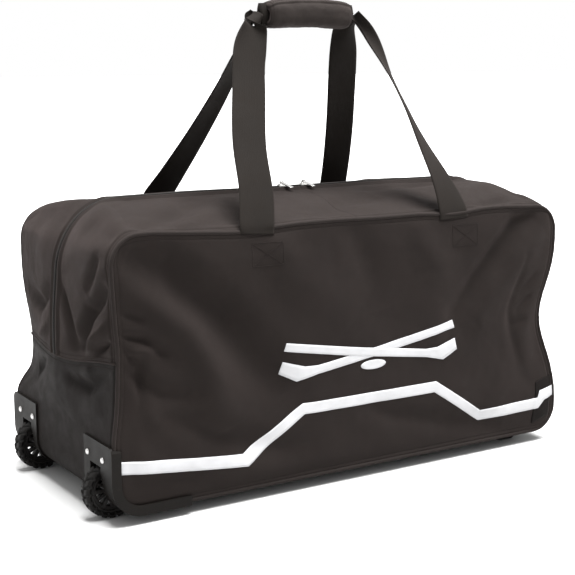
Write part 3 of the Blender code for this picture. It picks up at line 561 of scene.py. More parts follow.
def face_folds(sign):
    """Folds of the front panel, and the same folds mirrored along X at the rear."""
    mirror = 1 if sign < 0 else -1
    flat = [
        ([(-0.395, 0.386), (-0.335, 0.362), (-0.254, 0.295), (-0.165, 0.191), (-0.137, 0.150)],
         -0.0153, 0.034),
        ([(-0.396, 0.348), (-0.305, 0.273), (-0.256, 0.181), (-0.231, 0.118)], 0.0108, 0.030),
        ([(0.372, 0.408), (0.327, 0.388), (0.250, 0.312), (0.180, 0.236)], -0.0099, 0.018),
        ([(0.392, 0.372), (0.330, 0.318), (0.250, 0.222)], 0.0060, 0.026),
        ([(0.352, 0.340), (0.338, 0.245), (0.352, 0.120)], -0.0026, 0.0110),
        ([(-0.02, 0.408), (0.02, 0.345), (0.03, 0.27)], -0.0054, 0.030),
        ([(-0.16, 0.400), (-0.11, 0.335), (-0.02, 0.250)], 0.0063, 0.040),
        ([(0.10, 0.400), (0.15, 0.330), (0.14, 0.230)], 0.0054, 0.034),
        ([(-0.34, 0.150), (-0.24, 0.105), (-0.10, 0.060)], -0.0063, 0.020),
        ([(0.02, 0.110), (0.16, 0.070), (0.30, 0.045)], -0.0054, 0.018),
    ]
    sharp = [  # short crumples that start at the waist of the end seams
        ([(-0.412, 0.312), (-0.372, 0.296)], -0.0050, 0.0080),
        ([(-0.412, 0.276), (-0.378, 0.262), (-0.338, 0.222)], -0.0080, 0.0095),
        ([(-0.412, 0.248), (-0.386, 0.214), (-0.378, 0.158)], -0.0075, 0.0085),
        ([(-0.404, 0.238), (-0.356, 0.246)], 0.0050, 0.0100),
        ([(-0.410, 0.212), (-0.352, 0.180), (-0.300, 0.172)], -0.0070, 0.0110),
        ([(-0.398, 0.190), (-0.352, 0.140)], 0.0045, 0.0120),
        ([(0.388, 0.262), (0.352, 0.232)], -0.0035, 0.0100),
        ([(0.386, 0.222), (0.340, 0.214)], -0.0030, 0.0090),
        ([(0.390, 0.300), (0.350, 0.262)], -0.0028, 0.0110),
    ]
    flat += sharp
    return [(on_face(sign, [(mirror * x, z) for x, z in line]), height, width)
            for line, height, width in flat]


END_FOLDS = [
    ([(-0.42, -0.175, 0.345), (-0.42, -0.120, 0.300), (-0.42, -0.085, 0.235)], -0.0136, 0.0128),
    ([(-0.42, -0.178, 0.300), (-0.42, -0.135, 0.262), (-0.42, -0.100, 0.205)], 0.0102, 0.0104),
    ([(-0.42, -0.175, 0.262), (-0.42, -0.125, 0.222)], -0.0102, 0.0072),
    ([(-0.42, -0.150, 0.385), (-0.42, -0.110, 0.330)], -0.0068, 0.0096),
    ([(-0.42, -0.020, 0.330), (-0.42, -0.060, 0.270), (-0.42, -0.070, 0.230)], -0.0076, 0.0112),
    ([(-0.42, 0.020, 0.320), (-0.42, 0.070, 0.285), (-0.42, 0.150, 0.300)], -0.0085, 0.0144),
    ([(-0.42, 0.030, 0.260), (-0.42, 0.090, 0.225), (-0.42, 0.160, 0.215)], 0.0076, 0.0128),
    ([(-0.42, -0.165, 0.205), (-0.42, -0.110, 0.185), (-0.42, -0.040, 0.190)], -0.0068, 0.0088),
    ([(-0.42, 0.060, 0.200), (-0.42, 0.120, 0.170)], -0.0068, 0.0096),
    ([(0.42, -0.160, 0.330), (0.42, -0.090, 0.280), (0.42, -0.050, 0.215)], -0.0119, 0.0128),
    ([(0.42, 0.160, 0.320), (0.42, 0.100, 0.270), (0.42, 0.070, 0.215)], -0.0119, 0.0144),
    ([(0.42, -0.170, 0.250), (0.42, -0.110, 0.215), (0.42, -0.060, 0.160)], 0.0085, 0.0112),
    ([(0.42, 0.165, 0.230), (0.42, 0.100, 0.190), (0.42, 0.040, 0.150)], 0.0085, 0.0112),
]
TOP_FOLDS = [
    ([(-0.36, -0.17, 0.41), (-0.27, -0.10, 0.44), (-0.20, -0.03, 0.447)], -0.0075, 0.020),
    ([(-0.30, -0.175, 0.42), (-0.22, -0.12, 0.44), (-0.14, -0.05, 0.446)], 0.0067, 0.022),
    ([(-0.06, -0.170, 0.42), (0.02, -0.11, 0.44), (0.10, -0.09, 0.44)], -0.0060, 0.024),
    ([(0.20, -0.175, 0.42), (0.28, -0.12, 0.44), (0.37, -0.07, 0.43)], 0.0075, 0.018),
    ([(0.24, -0.178, 0.42), (0.33, -0.15, 0.42), (0.39, -0.11, 0.41)], -0.0075, 0.012),
    ([(0.10, -0.05, 0.445), (0.22, -0.04, 0.445), (0.33, -0.02, 0.44)], -0.0060, 0.016),
    ([(-0.34, 0.16, 0.42), (-0.24, 0.10, 0.44), (-0.12, 0.06, 0.446)], -0.0067, 0.022),
    ([(0.05, 0.16, 0.42), (0.16, 0.10, 0.44), (0.30, 0.07, 0.44)], 0.0067, 0.022),
    ([(-0.20, 0.03, 0.447), (-0.05, 0.05, 0.446), (0.08, 0.03, 0.447)], -0.0045, 0.016),
]


# ---------------------------------------------------------------- front and rear panels
PANEL_LOW = BASE_Z + PIPING_R
PANEL_TOP = SEAM_Z - PIPING_R
PANEL_W = 2 * EDGE_X
PANEL_H = PANEL_TOP - PANEL_LOW
GROOVE = 0.0085           # stitch line, measured from the piping


def round_corner(x, z):
    """Squeeze a rectangle's corners to round ones."""
    radius = CORNER_R - PIPING_R
    a = np.clip((np.abs(x) - (EDGE_X - radius)) / radius, 0.0, 1.0)
    middle = (PANEL_LOW + PANEL_TOP) / 2
    half = PANEL_H / 2
    b = np.clip((np.abs(z - middle) - (half - radius)) / radius, 0.0, 1.0)
    shift_x = radius * (a - a * np.sqrt(1 - b * b / 2))
    shift_z = radius * (b - b * np.sqrt(1 - a * a / 2))
    return x - np.sign(x) * shift_x, z - np.sign(z - middle) * shift_z


def guard_share(points):
    """1 where the moulded corner guards hold the cloth flat, 0 elsewhere."""
    beside = ramp(-points[..., 0], 0.270, 0.305) * (1 - ramp(points[..., 2], 0.050, 0.075))
    above = ramp(-points[..., 0], 0.375, 0.395) * (1 - ramp(points[..., 2], 0.120, 0.140))
    return np.maximum(beside, above)


def panel_nominal(us, vs, sign):
    x, z = np.meshgrid(-EDGE_X + us, PANEL_LOW + vs, indexing="ij")
    x, z = round_corner(x, z)
    return np.stack([x, np.full(x.shape, sign * EDGE_Y), z], axis=-1)


def make_face(face, sign):
    """One long side: cut flat, sewn to its slack seams, settled, then creased."""
    us, vs = np.linspace(0, PANEL_W, 76), np.linspace(0, PANEL_H, 36)
    flat = panel_nominal(us, vs, sign)
    start = deform(flat)
    inner = np.minimum(np.minimum(us, PANEL_W - us)[:, None], np.minimum(vs, PANEL_H - vs)[None, :])
    start[..., 1] += sign * 0.0030 * ramp(inner, 0.0, 0.10) * (1 - guard_share(flat))
    pinned = (inner < 1e-6) | (guard_share(flat) > 0.5)
    middle = flat.mean(axis=(0, 1))
    loose = settle(start, middle + (flat - middle) * np.array((1.012, 1.0, 1.022)), pinned, 24, 0.009)
    loose = start + (loose - start) * (1 - guard_share(flat))[..., None]
    fine_u = spaced(PANEL_W, 0.0036, 0.0012, 0.014)
    fine_v = spaced(PANEL_H, 0.0036, 0.0012, 0.014)
    grid = resample(loose, fine_u / PANEL_W, fine_v / PANEL_H)
    nominal = panel_nominal(fine_u, fine_v, sign)
    grid[0], grid[-1] = deform(nominal[0]), deform(nominal[-1])
    grid[:, 0], grid[:, -1] = deform(nominal[:, 0]), deform(nominal[:, -1])
    edge = np.minimum(np.minimum(fine_u, PANEL_W - fine_u)[:, None],
                      np.minimum(fine_v, PANEL_H - fine_v)[None, :])
    open_share = 1 - guard_share(nominal)
    out = 0.0028 * (1 - np.exp(-edge / 0.006)) + open_share * 0.0022 * ramp(edge, 0.0, 0.05)
    out -= 0.0008 * bump(edge, GROOVE, 0.0016) - 0.0003 * bump(edge, GROOVE - 0.004, 0.002)
    out += open_share * ramp(edge, 0.0, 0.02) * creases(nominal, face_folds(sign))
    out += open_share * ramp(edge, 0.002, 0.03) * (0.0011 * field(nominal, 22.0, 4.0 + sign)
                                                   + 0.0004 * field(nominal, 60.0, 9.0))
    towards = normals(grid)
    towards *= np.sign(np.mean(towards[..., 1])) * sign
    grid = grid + towards * out[..., None]
    piece = grid_object(f"{face}_cloth", grid, fine_u, fine_v, (0, sign, 0))
    thicken(piece)
    finish(piece, "bag_fabric", "shell", f"{face}_panel")
    return grid, towards, fine_u, fine_v, piece


# ---------------------------------------------------------------- top and upper ends
def crown_share(y):
    return np.clip((HALF_D - np.abs(y)) / HALF_D, 0.0, 1.0)


def over_top(stage, value, side, y):
    """Point of the end-and-top outline; stage is wall, arc or top."""
    share = crown_share(y)
    height = SEAM_Z + CROWN * np.sin(share * np.pi / 2)
    radius = TOP_RADIUS + (ZIP_RADIUS - TOP_RADIUS) * share
    centre_x, centre_z = HALF_L - radius, height - radius
    sunk = PIPING_R * np.clip(1 - (HALF_D - np.abs(y)) / 0.012, 0.0, 1.0)
    if stage == "wall":
        x, z = HALF_L - sunk, BREAK_Z + (centre_z - BREAK_Z) * value
    elif stage == "arc":
        x = centre_x + (radius - sunk) * math.cos(math.pi / 2 * value)
        z = centre_z + (radius - sunk) * math.sin(math.pi / 2 * value)
    else:
        x, z = centre_x * (1 - value), height - sunk
    return np.stack([side * x + 0 * y, y + 0 * x, z + 0 * y], axis=-1)


STRIP_STAGES = ([("wall", i / 13) for i in range(13)] + [("arc", i / 9) for i in range(9)]
                + [("top", i / 31) for i in range(31)])


def strip_nominal(ys):
    """Rows from the wheel-end seam over the top to the tow-end seam."""
    rows = [over_top(stage, value, -1, ys) for stage, value in STRIP_STAGES]
    rows.append(over_top("top", 1.0, 1, ys))
    rows += [over_top(stage, value, 1, ys) for stage, value in reversed(STRIP_STAGES)]
    return np.stack(rows)


def make_strip(face, sign):
    """Top and upper ends on one side of the zip, in two halves that meet mid-bag."""
    width = EDGE_Y - ZIP_HALF
    ys = sign * (EDGE_Y - np.linspace(0, width, 17))
    flat = strip_nominal(ys)
    start = deform(flat)
    pinned = np.zeros(flat.shape[:2], dtype=bool)
    pinned[0], pinned[-1], pinned[:, 0], pinned[:, -1] = True, True, True, True
    middle = flat.mean(axis=(0, 1))
    loose = settle(start, middle + (flat - middle) * np.array((1.012, 1.018, 1.012)), pinned, 22, 0.008)
    fine_v = spaced(width, 0.0036, 0.0012, 0.014)
    count = 361
    fine = np.linspace(0, 1, count)
    grid = resample(loose, fine, fine_v / width)
    nominal = resample(flat, fine, fine_v / width)
    exact = resample(start, fine, fine_v / width)
    us = run_along(nominal[:, len(fine_v) // 2])
    near_end = np.minimum(us, us[-1] - us)[:, None]
    edge, zip_edge = fine_v[None, :], (width - fine_v)[None, :]
    hold = np.minimum(ramp(edge, 0.0, 0.004), ramp(zip_edge, 0.0, 0.004))
    grid = exact + (grid - exact) * hold[..., None]
    inner = np.minimum(np.minimum(edge, zip_edge), near_end)
    out = 0.0014 * (1 - np.exp(-edge / 0.006)) + 0.0035 * ramp(inner, 0.0, 0.06)
    out = out - 0.0011 * bump(edge, GROOVE, 0.0016) + 0.0024 * bump(zip_edge, 0.0052, 0.0030)
    out = out - 0.0012 * bump(zip_edge, 0.0125, 0.0017) - 0.0010 * bump(near_end, 0.008, 0.002)
    out = out + ramp(inner, 0.002, 0.025) * (creases(nominal, TOP_FOLDS + END_FOLDS)
                                             + 0.0013 * field(nominal, 20.0, 6.0 + sign)
                                             + 0.0004 * field(nominal, 60.0, 2.0))
    towards = normals(grid)
    towards *= np.sign(np.mean(np.sum(towards * (grid - MIDDLE), axis=-1)))
    grid = grid + towards * out[..., None]
    half = count // 2
    for end, part in (("wheel_end", slice(0, half + 1)), ("tow_end", slice(half, count))):
        piece = grid_object(f"top_cloth_{face}_{end}", grid[part], us[part], fine_v,
                            (0, 0, 1))
        face_outward(piece, MIDDLE)
        thicken(piece)
        finish(piece, "bag_fabric", None, f"{end}_upper_{face}", f"top_flap_{face}")
        fold_with_flap(piece)
    return grid, towards, us, fine_v


def face_outward(piece, centre):
    """Turn a sheet's faces away from the middle of the bag."""
    mesh = piece.data
    total = sum((f.center - Vector(centre)).dot(f.normal) * f.area for f in mesh.polygons)
    if total < 0:
        mesh.flip_normals()


def fold_with_flap(piece):
    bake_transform(piece)


# ---------------------------------------------------------------- lower ends and base
WELL_HALF, WELL_TOP = 0.0305, 0.0935   # the lower end is cut away round the wheel wells
HEM = 0.0265              # how far the ends' cloth runs on under the bag


def lower_end_nominal(side, ys, wall_rows, arc_rows):
    radius = CORNER_R
    rows = []
    for share in np.linspace(0, 1, wall_rows):
        z = BREAK_Z + (BASE_Z + radius - BREAK_Z) * share
        rows.append((HALF_L, z))
    for share in np.linspace(0, 1, arc_rows)[1:]:
        angle = math.pi / 2 * share
        rows.append((HALF_L - radius + radius * math.cos(angle),
                     BASE_Z + radius - radius * math.sin(angle)))
    rows.append((HALF_L - radius - 0.014, BASE_Z))
    rows.append((HALF_L - radius - HEM, BASE_Z))
    grid = np.zeros((len(rows), len(ys), 3))
    sunk = PIPING_R * np.clip(1 - (HALF_D - np.abs(ys)) / 0.010, 0.0, 1.0)
    for i, (x, z) in enumerate(rows):
        low = np.clip((BASE_Z + radius - z) / radius, 0.0, 1.0)
        grid[i, :, 0] = side * (x - sunk * (1 - low))
        grid[i, :, 1] = ys
        grid[i, :, 2] = z + sunk * low
    return grid


def make_lower_end(end, side):
    """Stiffer lower end panel, cut away round the wheel wells at the wheel end."""
    ys = spaced(2 * EDGE_Y, 0.0036, 0.0012, 0.010) - EDGE_Y
    nominal = lower_end_nominal(side, ys, 42, 14)
    grid = deform(nominal)
    us = run_along(nominal[:, len(ys) // 2])
    edge = np.minimum(EDGE_Y - np.abs(ys)[None, :], us[:, None])
    held = guard_share(nominal) if side < 0 else 0.0
    near_guard = ramp(np.abs(nominal[..., 1]), 0.075, 0.095) * (1 - ramp(nominal[..., 2], 0.125, 0.150))
    open_share = (1 - held) * (1 - (near_guard if side < 0 else 0.0))
    belly = bump(nominal[..., 2], 0.155, 0.050) * (1 - (nominal[..., 1] / HALF_D) ** 2)
    out = open_share * (0.0030 * belly + ramp(edge, 0.002, 0.02)
                        * (creases(nominal, END_FOLDS) + 0.0012 * field(nominal, 18.0, 5.0)))
    out = out - 0.0009 * bump(us[:, None], 0.0065, 0.0018)
    towards = normals(grid)
    towards *= np.sign(np.mean(np.sum(towards * (grid - MIDDLE), axis=-1)))
    grid = grid + towards * out[..., None]
    keep = None
    if side < 0:
        middle = (nominal[:-1, :-1] + nominal[1:, 1:]) / 2
        wheel_y = abs(WHEEL[0][1] + WHEEL[1][1]) / 2
        in_well = (np.abs(np.abs(middle[..., 1]) - wheel_y) < WELL_HALF) & (middle[..., 2] < WELL_TOP)
        keep = ~in_well
    piece = grid_object(f"{end}_lower_cloth", grid, us, ys + EDGE_Y, (side, 0, -0.2), keep)
    face_outward(piece, MIDDLE)
    thicken(piece)
    finish(piece, "base_fabric", "shell", f"{end}_lower")
    return grid, towards, us, ys


def make_base():
    """Underside between the end panels, a little slack between board and floor."""
    half = HALF_L - CORNER_R - HEM
    us, ys = spaced(2 * half, 0.010, 0.004, 0.012) - half, spaced(2 * EDGE_Y, 0.008, 0.0015, 0.012) - EDGE_Y
    x, y = np.meshgrid(us, ys, indexing="ij")
    edge = EDGE_Y - np.abs(y)
    z = BASE_Z + PIPING_R * np.clip(1 - edge / 0.007, 0.0, 1.0)
    nominal = np.stack([x, y, z], axis=-1)
    grid = deform(nominal)
    inner = ramp(edge, 0.004, 0.05) * ramp(half - np.abs(x), 0.0, 0.04) * (1 - ramp(-x, 0.25, 0.29))
    grid[..., 2] += inner * (0.0010 * field(nominal, 14.0, 3.0) - 0.0008)
    piece = grid_object("base_cloth", grid, us + half, ys + EDGE_Y, (0, 0, -1))
    thicken(piece)
    finish(piece, "base_fabric", "shell", "base_panel")


# ---------------------------------------------------------------- tubes, bands and stitches
def frames_along(path):
    """Unit directions along a path of points."""
    ahead = np.gradient(path, axis=0)
    return ahead / np.maximum(np.linalg.norm(ahead, axis=1, keepdims=True), 1e-9)


def run_along(path):
    """Length walked up to each point of a path."""
    return np.concatenate([[0.0], np.cumsum(np.linalg.norm(np.diff(path, axis=0), axis=1))])


def tube_data(path, radius, sides, closed=False, lift=None):
    """Points and faces of a round tube; `lift` hints which way is up round it."""
    path = np.asarray(path, dtype=float)
    count = len(path)
    if closed:
        ahead = np.roll(path, -1, axis=0) - np.roll(path, 1, axis=0)
        ahead /= np.linalg.norm(ahead, axis=1, keepdims=True)
    else:
        ahead = frames_along(path)
    up = np.array(lift if lift is not None else (0.0, 1.0, 0.0), dtype=float)
    first = np.cross(ahead, np.broadcast_to(up, ahead.shape))
    first /= np.maximum(np.linalg.norm(first, axis=1, keepdims=True), 1e-9)
    second = np.cross(ahead, first)
    radii = np.broadcast_to(np.asarray(radius, dtype=float), (count,))
    points, cloth = [], []
    run = run_along(path)
    for i in range(count):
        for k in range(sides):
            angle = 2 * math.pi * k / sides
            points.append(path[i] + radii[i] * (math.cos(angle) * first[i] + math.sin(angle) * second[i]))
            cloth.append((run[i], radii.max() * 2 * math.pi * k / sides, 0.0))
    return points, ring_faces(count, sides, closed), cloth


def outward_normals(piece):
    body = bmesh.new()
    body.from_mesh(piece.data)
    bmesh.ops.recalc_face_normals(body, faces=body.faces)
    body.to_mesh(piece.data)
    body.free()


def gathered(name, shapes):
    """One mesh from several (points, faces, cloth) shapes."""
    points, faces, cloth = [], [], []
    for some_points, some_faces, some_cloth in shapes:
        base = len(points)
        points += list(some_points)
        cloth += list(some_cloth)
        faces += [[k + base for k in face] for face in some_faces]
    piece = new_mesh(name, points, faces, cloth)
    outward_normals(piece)
    return piece


def walk(path, pitch):
    """Evenly spaced positions along a path, as (index, share) pairs."""
    path = np.asarray(path)
    run = run_along(path)
    places = np.arange(pitch / 2, run[-1] - pitch / 2, pitch)
    index = np.clip(np.searchsorted(run, places) - 1, 0, len(path) - 2)
    share = (places - run[index]) / np.maximum(run[index + 1] - run[index], 1e-9)
    return index, share


def stitch_shapes(path, away, pitch=0.0042, length=0.0031, radius=0.00042):
    """Thread dashes along a line on the cloth; they dive in at both ends."""
    path, away = np.asarray(path, dtype=float), np.asarray(away, dtype=float)
    index, share = walk(path, pitch)
    middle = path[index] + (path[index + 1] - path[index]) * share[:, None]
    out = away[index] + (away[index + 1] - away[index]) * share[:, None]
    out /= np.maximum(np.linalg.norm(out, axis=1, keepdims=True), 1e-9)
    ahead = frames_along(path)[index]
    shapes = []
    for m, o, a in zip(middle, out, ahead):
        arch = [m + a * length * t + o * radius * lift
                for t, lift in ((-0.5, -1.3), (-0.34, 0.35), (0.0, 0.75), (0.34, 0.35), (0.5, -1.3))]
        shapes.append(tube_data(arch, [radius * k for k in (0.6, 1.0, 1.0, 1.0, 0.6)], 5, lift=o))
    return shapes


def stitches(name, lines, body, **sizes):
    shapes = []
    for path, away in lines:
        shapes += stitch_shapes(path, away, **sizes)
    piece = gathered(name, shapes)
    finish(piece, "piping", body, look="thread")
    return piece


def smooth_path(knots, count):
    """Points on a smooth curve through the given ones."""
    table = weights(len(knots), np.linspace(0, 1, count))
    return table @ np.asarray(knots, dtype=float)


def band_shape(path, wide, width, thickness, curl=None, columns=16):
    """Webbing: flat band with rounded, slightly thicker edges; curl bends it across."""
    path, wide = np.asarray(path, dtype=float), np.asarray(wide, dtype=float)
    ahead = frames_along(path)
    wide = wide - ahead * np.sum(wide * ahead, axis=1, keepdims=True)
    wide /= np.linalg.norm(wide, axis=1, keepdims=True)
    thick = np.cross(wide, ahead)
    count = len(path)
    widths = np.broadcast_to(np.asarray(width, dtype=float), (count,))
    curls = np.zeros(count) if curl is None else np.asarray(curl, dtype=float)
    across = np.linspace(-1, 1, columns)
    profile = [(u, 1.0) for u in across] + [(u, -1.0) for u in across[::-1]]
    run = run_along(path)
    points, cloth = [], []
    for i in range(count):
        for u, side in profile:
            rim = 1.0 + 0.18 * math.exp(-((1 - abs(u)) / 0.10) ** 2)
            if abs(u) > 0.999:
                rim = 0.55
            point = path[i] + wide[i] * (u * widths[i] / 2) + thick[i] * (side * rim * thickness / 2)
            point = point + thick[i] * (curls[i] * u * u)
            points.append(point)
            cloth.append((run[i], u * widths[i] / 2, side * 0.01))
    return points, ring_faces(count, len(profile), False), cloth


# ---------------------------------------------------------------- piping and seams
def outline_path(sign, step=0.006):
    """The long side's outline at the piping, as a closed loop of points."""
    radius = CORNER_R - PIPING_R
    corners = ((EDGE_X - radius, PANEL_TOP - radius, 0), (-EDGE_X + radius, PANEL_TOP - radius, 90),
               (-EDGE_X + radius, PANEL_LOW + radius, 180), (EDGE_X - radius, PANEL_LOW + radius, 270))
    loop = []
    for k, (x, z, start) in enumerate(corners):
        for i in range(12):
            angle = math.radians(start + 90 * i / 11)
            loop.append((x + radius * math.cos(angle), z + radius * math.sin(angle)))
        next_x, next_z, next_start = corners[(k + 1) % 4]
        goal = (next_x + radius * math.cos(math.radians(next_start)),
                next_z + radius * math.sin(math.radians(next_start)))
        here = loop[-1]
        pieces = int(math.dist(here, goal) / step)
        for i in range(1, pieces):
            loop.append((mix(here[0], goal[0], i / pieces), mix(here[1], goal[1], i / pieces)))
    return np.array([(x, sign * EDGE_Y, z) for x, z in loop])


def make_piping(face, sign):
    """Cloth-covered cord in the seam, with small puckers from its stitching."""
    path = deform(outline_path(sign))
    radius = PIPING_R * (1 + 0.05 * np.sin(np.arange(len(path)) * 1.9))
    piece = gathered(f"{face}_piping_cord", [tube_data(path, radius, 12, closed=True)])
    finish(piece, "piping", "shell", f"{face}_piping")


def row_near(places, value):
    return int(np.argmin(np.abs(places - value)))


def make_seam_stitches(faces, strips, lowers):
    """Stitch lines beside the piping, the zip and the end seams."""
    for face, (grid, towards, us, vs, _) in faces.items():
        i, j = row_near(us, GROOVE), row_near(vs, GROOVE)
        top = len(vs) - 1 - j
        right = len(us) - 1 - i
        begin = row_near(vs, 0.115)
        lines = [(grid[i:right + 1, top], towards[i:right + 1, top]),
                 (grid[i, begin:top + 1], towards[i, begin:top + 1]),
                 (grid[right, j:top + 1], towards[right, j:top + 1])]
        stitches(f"{face}_seam_stitches", lines, "shell")
    for face, (grid, towards, us, vs) in strips.items():
        half = len(us) // 2
        edge, by_zip = row_near(vs, GROOVE), row_near(vs, vs[-1] - 0.0125)
        for end, part in (("wheel_end", slice(0, half + 1)), ("tow_end", slice(half, len(us)))):
            lines = [(grid[part, j], towards[part, j]) for j in (edge, by_zip)]
            piece = stitches(f"top_stitches_{face}_{end}", lines, None)
            fold_with_flap(piece)
        for end, i in (("wheel_end", row_near(us, 0.008)), ("tow_end", row_near(us, us[-1] - 0.008))):
            stitches(f"{end}_seam_stitches_{face}", [(grid[i], towards[i])], "shell")
    for end, (grid, towards, us, ys) in lowers.items():
        i = row_near(us, 0.0065)
        stitches(f"{end}_lower_stitches", [(grid[i], towards[i])], "shell")


def make_end_welts():
    """Folded edge along the seam between upper and lower end panels."""
    for end, side in (("wheel_end", -1), ("tow_end", 1)):
        ys = np.linspace(-EDGE_Y, EDGE_Y, 90)
        path = np.stack([np.full(90, side * (HALF_L + 0.0004)), ys, np.full(90, BREAK_Z)], axis=-1)
        piece = gathered(f"{end}_welt", [tube_data(deform(path), 0.0020, 8, lift=(0, 0, 1))])
        finish(piece, "bag_fabric", "shell")


# ---------------------------------------------------------------- zip
COIL_PITCH = 0.0026


def make_zip(face, sign, strip):
    """Tape and coil on one side of the zip, in two halves that meet mid-bag."""
    grid, towards, us, _ = strip
    edge, away = grid[:, -1], towards[:, -1]
    half = len(us) // 2
    middle_edge = deform(strip_nominal(np.array([0.0])))[:, 0]
    middle = weights(len(middle_edge), np.linspace(0, 1, len(us))) @ middle_edge
    inward = middle - edge
    inward /= np.linalg.norm(inward, axis=1, keepdims=True)
    for end, part in (("wheel_end", slice(0, half + 1)), ("tow_end", slice(half, len(us)))):
        rows = []
        for across, lift in ((-0.0015, -0.0010), (0.0010, 0.0000), (0.0032, 0.0004), (0.0050, 0.0005)):
            rows.append(edge[part] + inward[part] * across + away[part] * lift)
        tape = grid_object(f"zip_cloth_{face}_{end}", np.stack(rows, axis=1), us[part],
                           np.array((0.0, 0.0025, 0.0047, 0.0065)), (0, 0, 1))
        face_outward(tape, MIDDLE)
        thicken(tape, 0.0007)
        finish(tape, "zip_tape", None, f"zip_tape_{face}_{end}", f"zip_tape_{face}_top")
        fold_with_flap(tape)
        path, out, into = edge[part], away[part], inward[part]
        shapes = []
        for i, share in zip(*walk(path, COIL_PITCH)):
            ahead = (path[i + 1] - path[i]) / np.linalg.norm(path[i + 1] - path[i])
            base = path[i] + (path[i + 1] - path[i]) * share + ahead * (COIL_PITCH / 2 if sign > 0 else 0.0)
            arch = [base + into[i] * a + out[i] * b
                    for a, b in ((0.0036, 0.0006), (0.0050, 0.0018), (0.0072, 0.0018), (0.0082, 0.0008))]
            shapes.append(tube_data(arch, (0.0005, 0.0006, 0.0007, 0.0005), 6, lift=ahead))
        coil = gathered(f"zip_coil_{face}_{end}", shapes)
        finish(coil, "zip_tape", None, look="coil")
        fold_with_flap(coil)


# ---------------------------------------------------------------- carry straps and grip
LEG_ROUTES = {
    # face, end: middle line from the seam to the grip, and the width direction there
    ("front", "wheel_end"): ([(-0.183, -0.1870, 0.404), (-0.181, -0.1820, 0.422), (-0.169, -0.160, 0.4655),
                              (-0.155, -0.120, 0.531), (-0.128, -0.074, 0.608), (-0.110, -0.0435, 0.660),
                              (-0.086, -0.018, 0.703), (-0.064, -0.0065, 0.7225)],
                             [(1, 0, 0), (1, 0, 0), (1, 0.05, 0.05), (1, 0.1, 0.1), (1, 0.2, 0.25),
                              (0.9, 0.3, 0.4), (0.6, 0.4, 0.7), (0.2, 0.3, 1)]),
    ("front", "tow_end"): ([(0.184, -0.1870, 0.402), (0.183, -0.1820, 0.420), (0.178, -0.160, 0.4625),
                            (0.168, -0.126, 0.520), (0.158, -0.094, 0.575), (0.144, -0.060, 0.632),
                            (0.126, -0.026, 0.686), (0.108, -0.0065, 0.7225)],
                           [(1, 0, 0), (1, 0.05, 0), (0.9, 0.35, 0), (0.72, 0.62, 0.05), (0.62, 0.80, 0.05),
                            (0.60, 0.80, 0.1), (0.45, 0.6, 0.6), (0.1, 0.3, 1)]),
    ("rear", "wheel_end"): ([(-0.160, 0.1870, 0.405), (-0.158, 0.1820, 0.423), (-0.142, 0.160, 0.462),
                             (-0.117, 0.1205, 0.530), (-0.091, 0.070, 0.614), (-0.078, 0.034, 0.676),
                             (-0.071, 0.015, 0.708), (-0.064, 0.0065, 0.7225)],
                            [(1, 0, 0), (1, 0, 0), (1, 0.1, 0.1), (0.95, 0.2, 0.2), (0.85, 0.3, 0.3),
                             (0.7, 0.4, 0.5), (0.4, 0.4, 0.8), (0.1, 0.3, 1)]),
    ("rear", "tow_end"): ([(0.203, 0.1870, 0.403), (0.201, 0.1820, 0.421), (0.192, 0.160, 0.465),
                           (0.174, 0.1265, 0.5245), (0.150, 0.086, 0.593), (0.128, 0.048, 0.652),
                           (0.114, 0.020, 0.702), (0.108, 0.0065, 0.7225)],
                          [(1, 0, 0), (1, 0, 0), (1, 0.05, -0.05), (1, 0.1, -0.1), (0.95, 0.2, -0.2),
                           (0.85, 0.3, -0.35), (0.5, 0.4, -0.8), (0.1, 0.3, -1)]),
}


def make_legs():
    """Four webbing legs that fold in half lengthwise where they enter the grip."""
    count = 72
    for (face, end), (route, turns) in LEG_ROUTES.items():
        path = smooth_path(route, count)
        wide = smooth_path(turns, count)
        share = np.linspace(0, 1, count)
        width = STRAP_W * (1 - 0.64 * ramp(share, 0.72, 0.98))
        curl = 0.010 * ramp(share, 0.70, 0.95) + 0.0020 * np.sin(share * 9.0)
        curl = curl * (1 if face == "front" else -1)
        piece = gathered(f"strap_{face}_{end}", [band_shape(path, wide, width, 0.0023, curl)])
        finish(piece, "webbing", "shell", f"strap_leg_{face}_{end}")
        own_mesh(piece)


def make_grip_webbing():
    """The doubled webbing that shows at both ends of the grip."""
    for face, sign in (("front", -1), ("rear", 1)):
        low, high = GRIP[0][0] - 0.011, GRIP[1][0] + 0.011
        xs = np.linspace(low, high, 50)
        arch = GRIP_MID[2] + 0.0015 * (1 - ((xs - GRIP_MID[0]) / GRIP_HALF[0]) ** 2)
        path = np.stack([xs, np.full(50, sign * 0.0052), arch], axis=-1)
        wide = np.tile((0.0, -0.12 * sign, 1.0), (50, 1))
        curl = np.full(50, -sign * 0.004)
        piece = gathered(f"grip_webbing_{face}", [band_shape(path, wide, 0.034, 0.0042, curl)])
        finish(piece, "webbing", "carry_handle", f"grip_strap_{face}")


